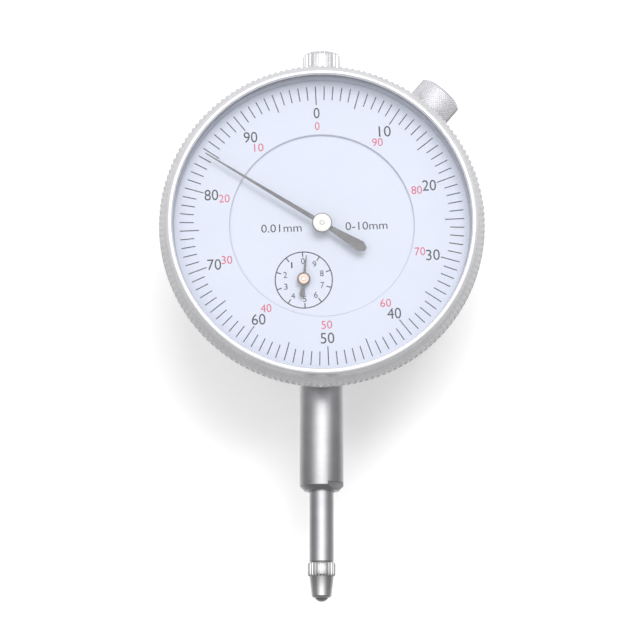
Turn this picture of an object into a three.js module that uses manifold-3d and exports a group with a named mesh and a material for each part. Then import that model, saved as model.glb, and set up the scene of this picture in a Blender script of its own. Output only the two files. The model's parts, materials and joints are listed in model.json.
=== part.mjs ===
// A dial indicator with a plunger, as a tree of separate pieces: 0.01 mm a division, 1 mm a turn of the main hand.
// X is right, Y runs from the glass to the back, Z is up. The pieces are laid out about the dial's centre, where
// the spindle's axis crosses the hands' axis. The last group lifts them, so that the origin is half way up the stem.
import * as THREE from "three";
import { mergeVertices } from "three/addons/utils/BufferGeometryUtils.js";
import Module from "manifold-3d";

const wasm = await Module();
wasm.setup();

// ---- Driving dimensions, in millimetres -------------------------------------------------------------------------

// Clearances
const FIT = 0.05; // beside a face that stays put
const RUNNING = 0.1; // round a shaft that turns or slides
const CLEAR = 0.15; // through a hole that only has to miss
const OVER = 1; // how far a cutting tool reaches past what it cuts

// Facets round a turned piece
const LARGE = 48;
const MEDIUM = 20;
const SMALL = 10;

// Stem, spindle and contact point
const STEM_RADIUS = 4; // the standard 8 mm clamping stem
const STEM_LENGTH = 20.3; // from the case down to the stem's end
const STEM_CHAMFER = 0.9;
const SPINDLE_RADIUS = 2.2;
const SPINDLE_EDGE = 0.2;
const SPINDLE_SHOWING = 13; // from the stem's end to the contact point's collar
const SPINDLE_TRAVEL = 10.6;
const COLLAR_OVERHANG = 0.3; // of the contact point's collar over the spindle
const COLLAR_LENGTH = 2.3;
const COLLAR_EDGE = 0.3;
const CONE_LENGTH = 4.1;
const CONE_TIP_RADIUS = 1.75;
const BALL_RADIUS = 1.5;
const BALL_SHOWING = 0.8;
const THREAD_RADIUS = 1.25;
const THREAD_LENGTH = 5;
const THREAD_RELIEF = 0.5; // the hole is this much deeper than the thread is long
const CAP_RADIUS = 3.5;
const CAP_LENGTH = 5.6;
const CAP_CHAMFER = 0.6;
const CAP_SHOULDER = 0.6; // how much the spindle's top is turned down inside the cap
const CAP_ROOF = 1.2;
const CAP_GAP = 0.3; // from the upper bush to the cap
const LOWER_BUSH_WALL = 0.7;
const LOWER_BUSH_LENGTH = 7;
const LOWER_BUSH_INSET = 0.3;
const UPPER_BUSH_WALL = 1.3;
const UPPER_BUSH_SHOWING = 1.6;

// Case, back cover and lug
const CASE_RADIUS = 27.2;
const CASE_WALL = 1.8;
const CASE_EDGE = 0.5; // chamfer at the back edge
const NECK_SEAT_DEPTH = 2.2; // how far the seats of stem and upper bush stand into the case
const SEAT_WALL = 1.6;
const SEAT_ROOT = 0.6; // how far a seat or boss reaches into the wall
const COVER_THICKNESS = 1.3;
const COVER_INSET = 0.75; // from the case's back edge to the cover's inner face
const COVER_ROOM = 1.65; // from the rear bridge to the cover's inner face
const COVER_SCREWS = 4;
const COVER_SCREW_START = 45; // degrees from +X
const COVER_SCREW_HEAD = { radius: 1.6, length: 0.55 };
const COVER_BOSS_RADIUS = 3.2;
const COVER_BOSS_LENGTH = 3.5;
const SCREW_SHANK = 0.8;
const SCREW_SLOT = { bottom: 0.55, halfWidth: 0.16 }; // shares of the head's length and radius
const SCREW_CROWN = { start: 0.8, radius: 0.85 }; // where the head's edge is broken, as the same shares
const LUG_THICKNESS = 5;
const LUG_RADIUS = 5.5;
const LUG_HOLE_RADIUS = 3.25;
const LUG_REACH = 8; // from the cover's outer face to the hole's axis
const LUG_FOOT = { width: 10, height: 19, thickness: 1.5 };
const LUG_SCREW_OFFSET = 7.4;
const LUG_SCREW = { head: 1.4, headLength: 0.6, bite: 1.05, hole: 1.2 }; // the last two: depths into the foot

// Bezel, glass and dial; the radii are steps out from the opening
const BEZEL_BACK_GAP = 0.3; // between the bezel's back face and the case's shoulder
const BEZEL_RIM_STEP = 0.8;
const BEZEL_NECK_FRONT_STEP = 1.1;
const BEZEL_NECK_BACK_STEP = 1.5;
const BEZEL_GRIP_STEP = 2.55;
const BEZEL_RIM_ROUND = 0.4;
const BEZEL_GRIP_LENGTH = 2.4;
const BEZEL_GRIP_BEVEL = 0.6;
const BEZEL_GRIP_EDGE = 0.2;
const BEZEL_LIP = 0.7;
const BEZEL_LIP_EDGE = 0.25;
const BEZEL_LIP_OVERLAP = 0.35; // of the lip over the glass
const BEZEL_SHELL = 0.85; // from the spigot to the bore that holds the glass
const SPIGOT_STEP = 0.6; // the bezel turns on a spigot this much smaller than the case
const SPIGOT_LENGTH = 1.1;
const SKIRT_WALL = 0.45; // the thin skirt behind the bezel that the clamp shoe presses on
const SKIRT_LENGTH = 1.2;
const GLASS_THICKNESS = 1.4;
const GLASS_GAP = 0.2; // from the main hub to the glass
const SPACER_WALL = 0.45;
const DIAL_THICKNESS = 0.4;
const DIAL_GAP = 0.3; // from the spigot's front to the turning dial ring
const DIAL_RING_INNER_RADIUS = 16.8;
const INNER_DIAL_OVERLAP = 1.2; // how far the fixed inner dial reaches behind the ring
const INNER_DIAL_STEP = 0.55; // how far it lies behind the ring's face
const DIAL_FOOT_RADIUS = 0.5;
const DIAL_FOOT_CIRCLE = 14;
const DIAL_FOOT_ANGLES = [30, 210];
const SNAP_RING_WIRE = 0.4;
const SNAP_RING_OPENING = 3;

// Clamp of the bezel
const CLAMP_ANGLE = 40.4; // clockwise from the top, degrees
const CLAMP_SETBACK = 4.35; // its axis, behind the case's front
const CLAMP_HEAD_RADIUS = 4.3;
const CLAMP_HEAD_LENGTH = 5.2;
const CLAMP_HEAD_CHAMFER = 0.55;
const CLAMP_HEAD_GAP = 0.1; // between the head and the shoe
const CLAMP_SHANK_RADIUS = 1.5;
const CLAMP_REACH = 1.5; // of the shank inside the case's wall
const SHOE_THICKNESS = 1.1;
const SHOE_WIDTH = 6;
const SHOE_FRONT_GAP = 0.4;
const SHOE_TAIL = 3.05; // behind the clamp's axis
const CLAMP_TRAVEL = 0.25; // inwards in half a turn of the screw

// Movement: a turn of the rack pinion is 10 mm of the spindle and ten turns of the main hand
const RACK_PITCH = 0.625;
const TRAIN_PITCH = 0.607; // of the wheels and of the centre pinion between them
const RACK_TEETH_ABOVE = 3; // above the pinion's axis at rest
const RACK_DEPTH = 0.49; // from the spindle's flank to the rack's pitch line
const RACK_PINION_TEETH = 16;
const WHEEL_TEETH = 100;
const CENTRE_PINION_TEETH = 10;
const TOOTH = { addendum: 0.224, dedendum: 0.304, tip: 0.08, root: 0.26 }; // in pitches; tip and root are half widths
const WHEEL_THICKNESS = 0.7;
const RACK_PINION_LENGTH = 3;
const CENTRE_PINION_LENGTH = 1.4;
const ARBOR_RADIUS = 0.6;
const ARBOR_END = 0.1; // of an arbor past its rear bearing
const HAND_SEAT_RADIUS = 0.4; // the front of each arbor, where a hand sits
const ARBOR_PASSAGE = 1;
const PLATE_GAP = 0.6; // from a plate's edge to the seats of stem and bush
const LOWER_PLATE_GAP = 1; // from the spindle to the lower plate
const LOWER_PLATE_THICKNESS = 1.2;
const UPPER_PLATE_THICKNESS = 1;
const WHEEL_GAP = 0.8; // from the lower plate to the wheels
const HAIRSPRING_LIFT = 1.05; // from the wheels' front to the hairspring's front
const HAIRSPRING_GAP = 0.65; // from the hairspring to the upper plate
const PILLAR_RADIUS = 1.75;
const PILLAR_INSET = 3.2; // from the plate's edge
const PILLAR_ANGLES = [345, 122, 202];
const PILLAR_HOLE_DEPTH = 2.2;
const PILLAR_SCREW_LENGTH = 2.6;
const PLATE_PAD_RADIUS = 3.2;
const PLATE_PAD_INSET = 2.4; // from the case's bore
const PLATE_PAD_LENGTH = 3;
const PLATE_SCREW_INSET = 1.4; // from the plate's edge
const PLATE_SCREW_ANGLES = [8, 140, 235];
const PLATE_SCREW_LENGTH = 3;
const COVER_SCREW_INSET = 2.6; // from the case's bore
const SMALL_SCREW = { head: 1.1, headLength: 0.6, shank: 0.65 };
const BEARING_RADIUS = 1.3;
const BRIDGE_GAP = 0.8; // from the spindle to the rear bridge
const BRIDGE_THICKNESS = 1;
const BRIDGE_POST_OFFSETS = [[-5.5, 4.03], [-5.5, -3.97]]; // from the counter's arbor
const BRIDGE_POST_RADIUS = 1.2;
const BRIDGE_MARGIN = 0.8; // of the bridge round a post
const BRIDGE_NOSE = 0.9; // and round the bearing
const TENON_END = 0.3;
const GUIDE_PIN_RADIUS = 0.7;
const GUIDE_PIN_ROOT = 0.5; // past the spindle's axis
const GUIDE_PIN_HEIGHT = 2;
const GUIDE_PIN_END = 12;
const GUIDE_BLOCK = { left: 9.5, right: 13.4, back: 1.9, end: 1 };
const MEASURING_SPRING = { x: 6.5, radius: 1.2, wire: 0.16, turns: 9, bottom: -16.4, steps: 8 };
const SPRING_POST_RADIUS = 0.8;
const HAIRSPRING = { turns: 3.5, inner: 1.45, outer: 4.9, height: 0.45, strip: 0.14, steps: 14 };
const STUD_RADIUS = 0.5;
const STUD_OFFSET = 0.7; // from the hairspring's outer end

// Hands and hubs; each lift is in front of the dial ring's face
const MAIN_HAND = { tail: 9.3, boss: 1.5, root: 0.5, tip: 0.1, club: 1, lift: 1.8, thickness: 0.2 };
const SMALL_HAND = { tail: 3.4, boss: 0.95, root: 0.24, tip: 0.08, club: 0.5, lift: 0.55, thickness: 0.15 };
const SMALL_HAND_LENGTH = 4.4;
const CLUB_TAPER = 1.1; // length of the tail's taper, in club half widths
const CLUB_END = 0.35; // half width of the tail's end, in the same
const MAIN_HUB = { radius: 1.8, frontLift: 2.3, backLift: 1.1, core: 0.9 };
const SMALL_HUB = { radius: 1.2, frontLift: 0.95, backLift: -0.05, core: 0.62 };
const HUB_EDGE = 0.1;
const HAND_MARGIN = 2.2; // from the main hand's tip to the bezel's opening
const MAIN_HAND_REST = -58.6; // clockwise from the top, degrees
const SMALL_HAND_REST = 5.9;

// ---- Sizes that follow ------------------------------------------------------------------------------------------

const RAD = Math.PI / 180;
const pitchRadius = (teeth, pitch) => (teeth * pitch) / (2 * Math.PI);
const TRAIN_CENTRES = pitchRadius(WHEEL_TEETH + CENTRE_PINION_TEETH, TRAIN_PITCH);
const RACK_LINE = SPINDLE_RADIUS - RACK_DEPTH;
const RACK_TEETH = Math.ceil(SPINDLE_TRAVEL / RACK_PITCH) + 2 * RACK_TEETH_ABOVE;
const COUNTER_X = -(RACK_LINE + pitchRadius(RACK_PINION_TEETH, RACK_PITCH));
const COUNTER_Z = -Math.sqrt(TRAIN_CENTRES ** 2 - COUNTER_X ** 2);
const COUNTER = [COUNTER_X, COUNTER_Z];
const TAKEUP = [-COUNTER_X, -COUNTER_Z];

// Along the spindle
const CASE_BORE = CASE_RADIUS - CASE_WALL;
const STEM_END = -(CASE_RADIUS + STEM_LENGTH);
const STEM_TOP = -(CASE_BORE - NECK_SEAT_DEPTH);
const STEM_MIDDLE = -(CASE_RADIUS + STEM_LENGTH / 2);
const STEM_BORE = SPINDLE_RADIUS + RUNNING + LOWER_BUSH_WALL + FIT;
const SPINDLE_END = STEM_END - SPINDLE_SHOWING;
const UPPER_BUSH_TOP = CASE_RADIUS + UPPER_BUSH_SHOWING;
const CAP_BOTTOM = UPPER_BUSH_TOP + CAP_GAP;
const CAP_SHANK_RADIUS = SPINDLE_RADIUS - CAP_SHOULDER;

// From the spindle forward to the glass, and back to the cover
const LOWER_PLATE_BACK = -(SPINDLE_RADIUS + LOWER_PLATE_GAP);
const LOWER_PLATE = { front: LOWER_PLATE_BACK - LOWER_PLATE_THICKNESS, back: LOWER_PLATE_BACK };
const WHEEL_BACK = LOWER_PLATE.front - WHEEL_GAP;
const WHEEL_FRONT = WHEEL_BACK - WHEEL_THICKNESS;
const HAIRSPRING_FRONT = WHEEL_FRONT - HAIRSPRING_LIFT;
const UPPER_PLATE_BACK = HAIRSPRING_FRONT - HAIRSPRING_GAP;
const UPPER_PLATE = { front: UPPER_PLATE_BACK - UPPER_PLATE_THICKNESS, back: UPPER_PLATE_BACK };
const CASE_FRONT = UPPER_PLATE.front;
const SPIGOT_FRONT = CASE_FRONT - SPIGOT_LENGTH;
const DIAL_FRONT = SPIGOT_FRONT - DIAL_GAP - DIAL_THICKNESS;
const INNER_DIAL_FRONT = DIAL_FRONT + INNER_DIAL_STEP;
const GLASS_BACK = DIAL_FRONT - MAIN_HUB.frontLift - GLASS_GAP;
const GLASS_FRONT = GLASS_BACK - GLASS_THICKNESS;
const BEZEL_FRONT = GLASS_FRONT - BEZEL_LIP;
const BEZEL_BACK = CASE_FRONT - BEZEL_BACK_GAP;
const REAR_BRIDGE_FRONT = SPINDLE_RADIUS + BRIDGE_GAP;
const REAR_BRIDGE = { front: REAR_BRIDGE_FRONT, back: REAR_BRIDGE_FRONT + BRIDGE_THICKNESS };
const COVER_FRONT = REAR_BRIDGE.back + COVER_ROOM;
const COVER_BACK = COVER_FRONT + COVER_THICKNESS;
const CASE_BACK = COVER_FRONT + COVER_INSET;

// From the case outward to the bezel and the clamp, and inward to the plates
const SPIGOT_RADIUS = CASE_RADIUS - SPIGOT_STEP;
const BEZEL_BORE = SPIGOT_RADIUS + BEZEL_SHELL;
const BEZEL_OPENING = BEZEL_BORE - BEZEL_LIP_OVERLAP;
const BEZEL_RADIUS = BEZEL_OPENING + BEZEL_GRIP_STEP;
const SKIRT_BORE = CASE_RADIUS + CLEAR;
const SKIRT_RADIUS = SKIRT_BORE + SKIRT_WALL;
const SHOE_INNER = SKIRT_RADIUS + CLAMP_TRAVEL + FIT;
const SHOE_OUTER = SHOE_INNER + SHOE_THICKNESS;
const CLAMP_DEPTH = CASE_FRONT + CLAMP_SETBACK;
const CLAMP_HEAD_START = SHOE_OUTER + CLAMP_HEAD_GAP;
const CLAMP_HEAD_END = CLAMP_HEAD_START + CLAMP_HEAD_LENGTH;
const CLAMP_SHANK_END = CASE_BORE - CLAMP_REACH;
const SNAP_RING_FRONT = (BEZEL_BACK + SPIGOT_FRONT) / 2 - SNAP_RING_WIRE / 2;
const SNAP_RING_BACK = SNAP_RING_FRONT + SNAP_RING_WIRE;
const PLATE_RADIUS = -STEM_TOP - PLATE_GAP;
const PILLAR_CIRCLE = PLATE_RADIUS - PILLAR_INSET;
const PLATE_SCREW_CIRCLE = PLATE_RADIUS - PLATE_SCREW_INSET;
const PLATE_PAD_CIRCLE = CASE_BORE - PLATE_PAD_INSET;
const COVER_SCREW_CIRCLE = CASE_BORE - COVER_SCREW_INSET;
const BRIDGE_POSTS = BRIDGE_POST_OFFSETS.map(([x, z]) => [COUNTER_X + x, COUNTER_Z + z]);
const MAIN_HAND_LENGTH = BEZEL_OPENING - HAND_MARGIN;

// ---- Making shapes ----------------------------------------------------------------------------------------------

function solidOf(geometry) {
  const bare = geometry.index ? geometry.toNonIndexed() : geometry.clone();
  bare.deleteAttribute("normal");
  bare.deleteAttribute("uv");
  const merged = mergeVertices(bare, 1e-4);
  const vertProperties = merged.attributes.position.array;
  return new wasm.Manifold(new wasm.Mesh({ numProp: 3, vertProperties, triVerts: merged.index.array }));
}

function geometryOf(solid) {
  const mesh = solid.getMesh();
  const geometry = new THREE.BufferGeometry();
  geometry.setAttribute("position", new THREE.BufferAttribute(mesh.vertProperties, 3));
  geometry.setIndex(new THREE.BufferAttribute(mesh.triVerts, 1));
  return geometry;
}

const join = (first, ...others) => geometryOf(others.reduce((sum, g) => sum.add(solidOf(g)), solidOf(first)));
const cut = (first, ...others) => geometryOf(others.reduce((sum, g) => sum.subtract(solidOf(g)), solidOf(first)));

// A piece turned about the Y axis, from [radius, y] points that run from back to front along the outside.
function turned(points, facets = SMALL) {
  return new THREE.LatheGeometry(points.map(([r, y]) => new THREE.Vector2(r, y)).reverse(), facets);
}

const rod = (radius, front, back, facets) => turned([[0, back], [radius, back], [radius, front], [0, front]], facets);

function tube(radius, bore, front, back, facets) {
  return turned([[bore, back], [radius, back], [radius, front], [bore, front], [bore, back]], facets);
}

const alongZ = (geometry) => geometry.rotateX(Math.PI / 2); // what was turned about Y now stands along Z
const alongX = (geometry) => geometry.rotateZ(-Math.PI / 2); // and here it lies along X
const at = (x, z, geometry) => geometry.translate(x, 0, z);
const onCircle = (radius, degrees) => [radius * Math.cos(degrees * RAD), radius * Math.sin(degrees * RAD)];

// An outline in the X-Z plane, thickened from front to back.
function sheet(shape, front, back, curveSegments = 12) {
  const geometry = new THREE.ExtrudeGeometry(shape, { depth: back - front, bevelEnabled: false, curveSegments });
  return geometry.rotateX(Math.PI / 2).translate(0, back, 0);
}

function outline(points) {
  return new THREE.Shape(points.map(([x, z]) => new THREE.Vector2(x, z)));
}

function box(left, right, front, back, bottom, top) {
  const geometry = new THREE.BoxGeometry(right - left, back - front, top - bottom);
  return geometry.translate((left + right) / 2, (front + back) / 2, (bottom + top) / 2);
}

// The four bends of one tooth, as [half width, height above the pitch line], both in pitches.
const TOOTH_BENDS = [
  [-TOOTH.root, -TOOTH.dedendum],
  [-TOOTH.tip, TOOTH.addendum],
  [TOOTH.tip, TOOTH.addendum],
  [TOOTH.root, -TOOTH.dedendum],
];

// A toothed wheel whose first tooth points along the given direction, in degrees from +X towards +Z.
function gear(teeth, pitch, firstTooth, front, back) {
  const radius = pitchRadius(teeth, pitch);
  const points = [];
  for (let i = 0; i < teeth; i += 1) {
    for (const [across, height] of TOOTH_BENDS) {
      const turn = firstTooth * RAD + ((i + across) * pitch) / radius;
      const reach = radius + height * pitch;
      points.push([reach * Math.cos(turn), reach * Math.sin(turn)]);
    }
  }
  return sheet(outline(points), front, back);
}

// ---- Fixed pieces -----------------------------------------------------------------------------------------------

const metal = (color, roughness) => new THREE.MeshStandardMaterial({ color, roughness, metalness: 1 });
const STEEL = metal(0xb9bbbf, 0.3);
const DARK_STEEL = metal(0x6d7178, 0.35);
const SATIN = metal(0xc9cacc, 0.42);
const BRASS = metal(0xc9a456, 0.3);
const COPPER = metal(0xb8714c, 0.35);
const CASTING = new THREE.MeshStandardMaterial({ color: 0x3a3c40, roughness: 0.55, metalness: 0.4 });
const DIAL = new THREE.MeshStandardMaterial({ color: 0xe6ebf7, roughness: 0.5, metalness: 0 });
const IVORY = new THREE.MeshStandardMaterial({ color: 0xf4f1ea, roughness: 0.4, metalness: 0 });
const GLASS = new THREE.MeshStandardMaterial({
  color: 0xffffff, roughness: 0.05, metalness: 0, transparent: true, opacity: 0.2,
});

function piece(name, geometry, material) {
  const mesh = new THREE.Mesh(geometry, material);
  mesh.name = name;
  return mesh;
}

// The clamp's own frame: its local X points out along the screw, from the dial's axis.
function clampFrame(...children) {
  const group = new THREE.Group();
  group.position.y = CLAMP_DEPTH;
  group.rotation.y = (CLAMP_ANGLE - 90) * RAD;
  if (children.length) group.add(...children);
  group.updateMatrixWorld(true);
  return group;
}

const coverScrewAngles = Array.from(
  { length: COVER_SCREWS },
  (_, i) => COVER_SCREW_START + (i * 360) / COVER_SCREWS,
);
const coverScrewPlaces = coverScrewAngles.map((angle) => onCircle(COVER_SCREW_CIRCLE, angle));
const lugScrewHeights = [LUG_SCREW_OFFSET, -LUG_SCREW_OFFSET];
const pillarPlaces = PILLAR_ANGLES.map((angle) => onCircle(PILLAR_CIRCLE, angle));
const plateScrewPlaces = PLATE_SCREW_ANGLES.map((angle) => onCircle(PLATE_SCREW_CIRCLE, angle));
const dialFootPlaces = DIAL_FOOT_ANGLES.map((angle) => onCircle(DIAL_FOOT_CIRCLE, angle));
const studPlace = [TAKEUP[0] + HAIRSPRING.outer + STUD_OFFSET, TAKEUP[1]];

// A round hole through everything from front to back, reaching past both faces.
function through(place, radius, { front, back }, facets) {
  return at(...place, rod(radius, front - OVER, back + OVER, facets));
}

function caseShell() {
  const grooveFloor = SPIGOT_RADIUS - SNAP_RING_WIRE - FIT;
  const grooveFront = SNAP_RING_FRONT - FIT;
  const grooveBack = SNAP_RING_BACK + FIT;
  const wall = turned([
    [CASE_BORE, CASE_BACK], [CASE_RADIUS - CASE_EDGE, CASE_BACK], [CASE_RADIUS, CASE_BACK - CASE_EDGE],
    [CASE_RADIUS, CASE_FRONT], [SPIGOT_RADIUS, CASE_FRONT], [SPIGOT_RADIUS, grooveBack],
    [grooveFloor, grooveBack], [grooveFloor, grooveFront], [SPIGOT_RADIUS, grooveFront],
    [SPIGOT_RADIUS, SPIGOT_FRONT], [CASE_BORE, SPIGOT_FRONT], [CASE_BORE, CASE_BACK],
  ], LARGE);
  const insideWall = CASE_BORE + SEAT_ROOT;
  const stemSeat = alongZ(rod(STEM_RADIUS + SEAT_WALL, -insideWall, STEM_TOP, MEDIUM));
  const bushSeatRadius = SPINDLE_RADIUS + RUNNING + UPPER_BUSH_WALL;
  const bushSeat = alongZ(rod(bushSeatRadius + SEAT_WALL, -STEM_TOP, insideWall, MEDIUM));
  const bossFront = COVER_FRONT - COVER_BOSS_LENGTH;
  const coverBosses = coverScrewPlaces.map((place) =>
    at(...place, rod(COVER_BOSS_RADIUS, bossFront, COVER_FRONT - FIT)));
  const padBack = LOWER_PLATE.back + PLATE_PAD_LENGTH;
  const platePads = PLATE_SCREW_ANGLES.map((angle) =>
    at(...onCircle(PLATE_PAD_CIRCLE, angle), rod(PLATE_PAD_RADIUS, LOWER_PLATE.back + FIT, padBack)));
  const clampBoss = alongX(rod(CLAMP_SHANK_RADIUS + SEAT_WALL, CLAMP_SHANK_END - FIT, insideWall));
  clampBoss.applyMatrix4(clampFrame().matrixWorld);

  const stemHole = alongZ(rod(STEM_RADIUS + FIT, -CASE_RADIUS - OVER, STEM_TOP + OVER, MEDIUM));
  const bushHole = alongZ(rod(bushSeatRadius + FIT, -STEM_TOP - OVER, CASE_RADIUS + OVER, MEDIUM));
  const coverHoles = coverScrewPlaces.map((place) =>
    at(...place, rod(SCREW_SHANK + FIT, bossFront + OVER, COVER_FRONT + OVER, SMALL)));
  const plateHoles = plateScrewPlaces.map((place) =>
    at(...place, rod(SMALL_SCREW.shank + FIT, LOWER_PLATE.back - OVER, padBack - OVER, SMALL)));
  const clampHole = alongX(rod(CLAMP_SHANK_RADIUS + RUNNING, CLAMP_SHANK_END - OVER, CASE_RADIUS + OVER));
  clampHole.applyMatrix4(clampFrame().matrixWorld);
  const solid = join(wall, stemSeat, bushSeat, ...coverBosses, ...platePads, clampBoss);
  return cut(solid, stemHole, bushHole, ...coverHoles, ...plateHoles, clampHole);
}

function stem() {
  const tip = STEM_RADIUS - STEM_CHAMFER;
  return alongZ(turned([
    [STEM_BORE, STEM_TOP], [STEM_RADIUS, STEM_TOP], [STEM_RADIUS, STEM_END + STEM_CHAMFER],
    [tip, STEM_END], [STEM_BORE, STEM_END], [STEM_BORE, STEM_TOP],
  ], MEDIUM));
}

function lowerBush() {
  const bottom = STEM_END + LOWER_BUSH_INSET;
  return alongZ(tube(STEM_BORE - FIT, SPINDLE_RADIUS + RUNNING, bottom, bottom + LOWER_BUSH_LENGTH, MEDIUM));
}

function upperBush() {
  const bore = SPINDLE_RADIUS + RUNNING;
  return alongZ(tube(bore + UPPER_BUSH_WALL, bore, FIT - STEM_TOP - PLATE_GAP / 2, UPPER_BUSH_TOP, MEDIUM));
}

function backCover() {
  const faces = { front: COVER_FRONT, back: COVER_BACK };
  const disc = rod(CASE_BORE - RUNNING, COVER_FRONT, COVER_BACK, LARGE);
  const lugScrewPlaces = lugScrewHeights.map((z) => [0, z]);
  const holes = [...coverScrewPlaces, ...lugScrewPlaces].map((place) => through(place, SCREW_SHANK + CLEAR, faces));
  return cut(disc, ...holes);
}

function backLug() {
  const face = COVER_BACK + FIT;
  const centre = COVER_BACK + LUG_REACH;
  const { width, height, thickness } = LUG_FOOT;
  const halfLug = LUG_THICKNESS / 2;
  const foot = box(-width / 2, width / 2, face, face + thickness, -height / 2, height / 2);
  const web = box(-halfLug, halfLug, face + thickness / 2, centre, -LUG_RADIUS, LUG_RADIUS);
  const eye = alongX(rod(LUG_RADIUS, -halfLug, halfLug, MEDIUM)).translate(0, centre, 0);
  const hole = alongX(rod(LUG_HOLE_RADIUS, -LUG_THICKNESS, LUG_THICKNESS, MEDIUM)).translate(0, centre, 0);
  const screwHoles = lugScrewHeights.map((z) => at(0, z, rod(SCREW_SHANK + FIT, face - OVER, face + LUG_SCREW.hole)));
  return cut(join(foot, web, eye), hole, ...screwHoles);
}

// A cheese-headed screw along Y: its head's seat is at y = 0 and its shank runs towards +Y, or -Y when turned.
function screw(headRadius, headLength, shankRadius, shankLength) {
  const slotHalf = headRadius * SCREW_SLOT.halfWidth;
  const slot = box(-headRadius, headRadius, -headLength - OVER, -headLength * SCREW_SLOT.bottom, -slotHalf, slotHalf);
  const body = turned([
    [0, shankLength], [shankRadius, shankLength], [shankRadius, 0], [headRadius, 0],
    [headRadius, -headLength * SCREW_CROWN.start], [headRadius * SCREW_CROWN.radius, -headLength], [0, -headLength],
  ]);
  return cut(body, slot);
}

function placed(mesh, x, y, z, facesBack = false) {
  mesh.position.set(x, y, z);
  if (facesBack) mesh.rotation.z = Math.PI;
  return mesh;
}

function coverScrews() {
  const { radius, length } = COVER_SCREW_HEAD;
  const shankLength = COVER_THICKNESS + COVER_BOSS_LENGTH / 2;
  return coverScrewPlaces.map(([x, z], i) => {
    const geometry = screw(radius, length, SCREW_SHANK, shankLength);
    return placed(piece(`back_cover_screw_${i + 1}`, geometry, STEEL), x, COVER_BACK + FIT, z, true);
  });
}

function lugScrews() {
  const { head, headLength, bite } = LUG_SCREW;
  return lugScrewHeights.map((z, i) => {
    const geometry = screw(head, headLength, SCREW_SHANK, COVER_THICKNESS + bite);
    return placed(piece(`lug_screw_${i + 1}`, geometry, STEEL), 0, COVER_FRONT - FIT, z);
  });
}

// ---- Plates of the movement -------------------------------------------------------------------------------------

const bearingHole = (place, plate) => through(place, BEARING_RADIUS + FIT, plate, SMALL);
const screwHole = (place, plate) => through(place, SMALL_SCREW.shank + CLEAR, plate, SMALL);

function lowerPlate() {
  const disc = rod(PLATE_RADIUS, LOWER_PLATE.front, LOWER_PLATE.back, LARGE);
  const passage = through(COUNTER, ARBOR_PASSAGE, LOWER_PLATE, SMALL);
  const bearings = [[0, 0], TAKEUP].map((place) => bearingHole(place, LOWER_PLATE));
  return cut(disc, passage, ...bearings, ...plateScrewPlaces.map((place) => screwHole(place, LOWER_PLATE)));
}

function upperPlate() {
  const disc = rod(PLATE_RADIUS, UPPER_PLATE.front, UPPER_PLATE.back, LARGE);
  const bearings = [[0, 0], TAKEUP, COUNTER].map((place) => bearingHole(place, UPPER_PLATE));
  const feet = dialFootPlaces.map((place) => through(place, DIAL_FOOT_RADIUS + FIT, UPPER_PLATE, SMALL));
  return cut(disc, ...bearings, ...feet, ...pillarPlaces.map((place) => screwHole(place, UPPER_PLATE)));
}

function pillars() {
  const pillar = () => cut(
    rod(PILLAR_RADIUS, UPPER_PLATE.back + FIT, LOWER_PLATE.front - FIT),
    rod(SMALL_SCREW.shank + FIT, UPPER_PLATE.back - OVER, UPPER_PLATE.back + PILLAR_HOLE_DEPTH),
  );
  return pillarPlaces.map(([x, z], i) => placed(piece(`pillar_${i + 1}`, pillar(), BRASS), x, 0, z));
}

function smallScrews(name, places, seat, length) {
  const { head, headLength, shank } = SMALL_SCREW;
  return places.map(([x, z], i) =>
    placed(piece(`${name}_${i + 1}`, screw(head, headLength, shank, length), STEEL), x, seat - FIT, z));
}

function rearBridge() {
  const [[postX, highZ], [, lowZ]] = BRIDGE_POSTS;
  const margin = BRIDGE_POST_RADIUS + BRIDGE_MARGIN;
  const nose = BEARING_RADIUS + BRIDGE_NOSE;
  const shape = outline([
    [postX - margin, lowZ - margin], [postX + margin, lowZ - margin], [COUNTER_X, COUNTER_Z - nose],
    [COUNTER_X + nose, COUNTER_Z - nose / 2], [COUNTER_X + nose, COUNTER_Z + nose / 2],
    [COUNTER_X, COUNTER_Z + nose], [postX + margin, highZ + margin], [postX - margin, highZ + margin],
  ]);
  const plate = sheet(shape, REAR_BRIDGE.front, REAR_BRIDGE.back);
  return cut(plate, bearingHole(COUNTER, REAR_BRIDGE), ...BRIDGE_POSTS.map((place) => screwHole(place, REAR_BRIDGE)));
}

// Each bridge post ends in a thin tenon that is riveted over behind the bridge.
function bridgePosts() {
  const tenonBack = REAR_BRIDGE.back + TENON_END;
  const shoulder = REAR_BRIDGE.front - FIT;
  const foot = LOWER_PLATE.back + FIT;
  return BRIDGE_POSTS.map(([x, z], i) => {
    const post = turned([
      [0, tenonBack], [SMALL_SCREW.shank, tenonBack], [SMALL_SCREW.shank, shoulder],
      [BRIDGE_POST_RADIUS, shoulder], [BRIDGE_POST_RADIUS, foot], [0, foot],
    ]);
    return placed(piece(`bridge_post_${i + 1}`, post, BRASS), x, 0, z);
  });
}

function guideBlock() {
  const { left, right, back, end } = GUIDE_BLOCK;
  const half = GUIDE_PIN_RADIUS + CLEAR;
  const bottom = GUIDE_PIN_HEIGHT - half;
  const top = GUIDE_PIN_HEIGHT + SPINDLE_TRAVEL + half;
  const block = box(left, right, LOWER_PLATE.back + FIT, back, bottom - end, top + end);
  return cut(block, box(left - OVER, GUIDE_PIN_END + CLEAR, -half, half, bottom, top));
}

function springPost() {
  const post = rod(SPRING_POST_RADIUS, LOWER_PLATE.back + FIT, MEASURING_SPRING.radius);
  return at(MEASURING_SPRING.x, MEASURING_SPRING.bottom - SPRING_POST_RADIUS - FIT, post);
}

function bearing(name, [x, z], plate) {
  const geometry = tube(BEARING_RADIUS, ARBOR_RADIUS + FIT, plate.front, plate.back);
  return placed(piece(name, geometry, BRASS), x, 0, z);
}

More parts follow.
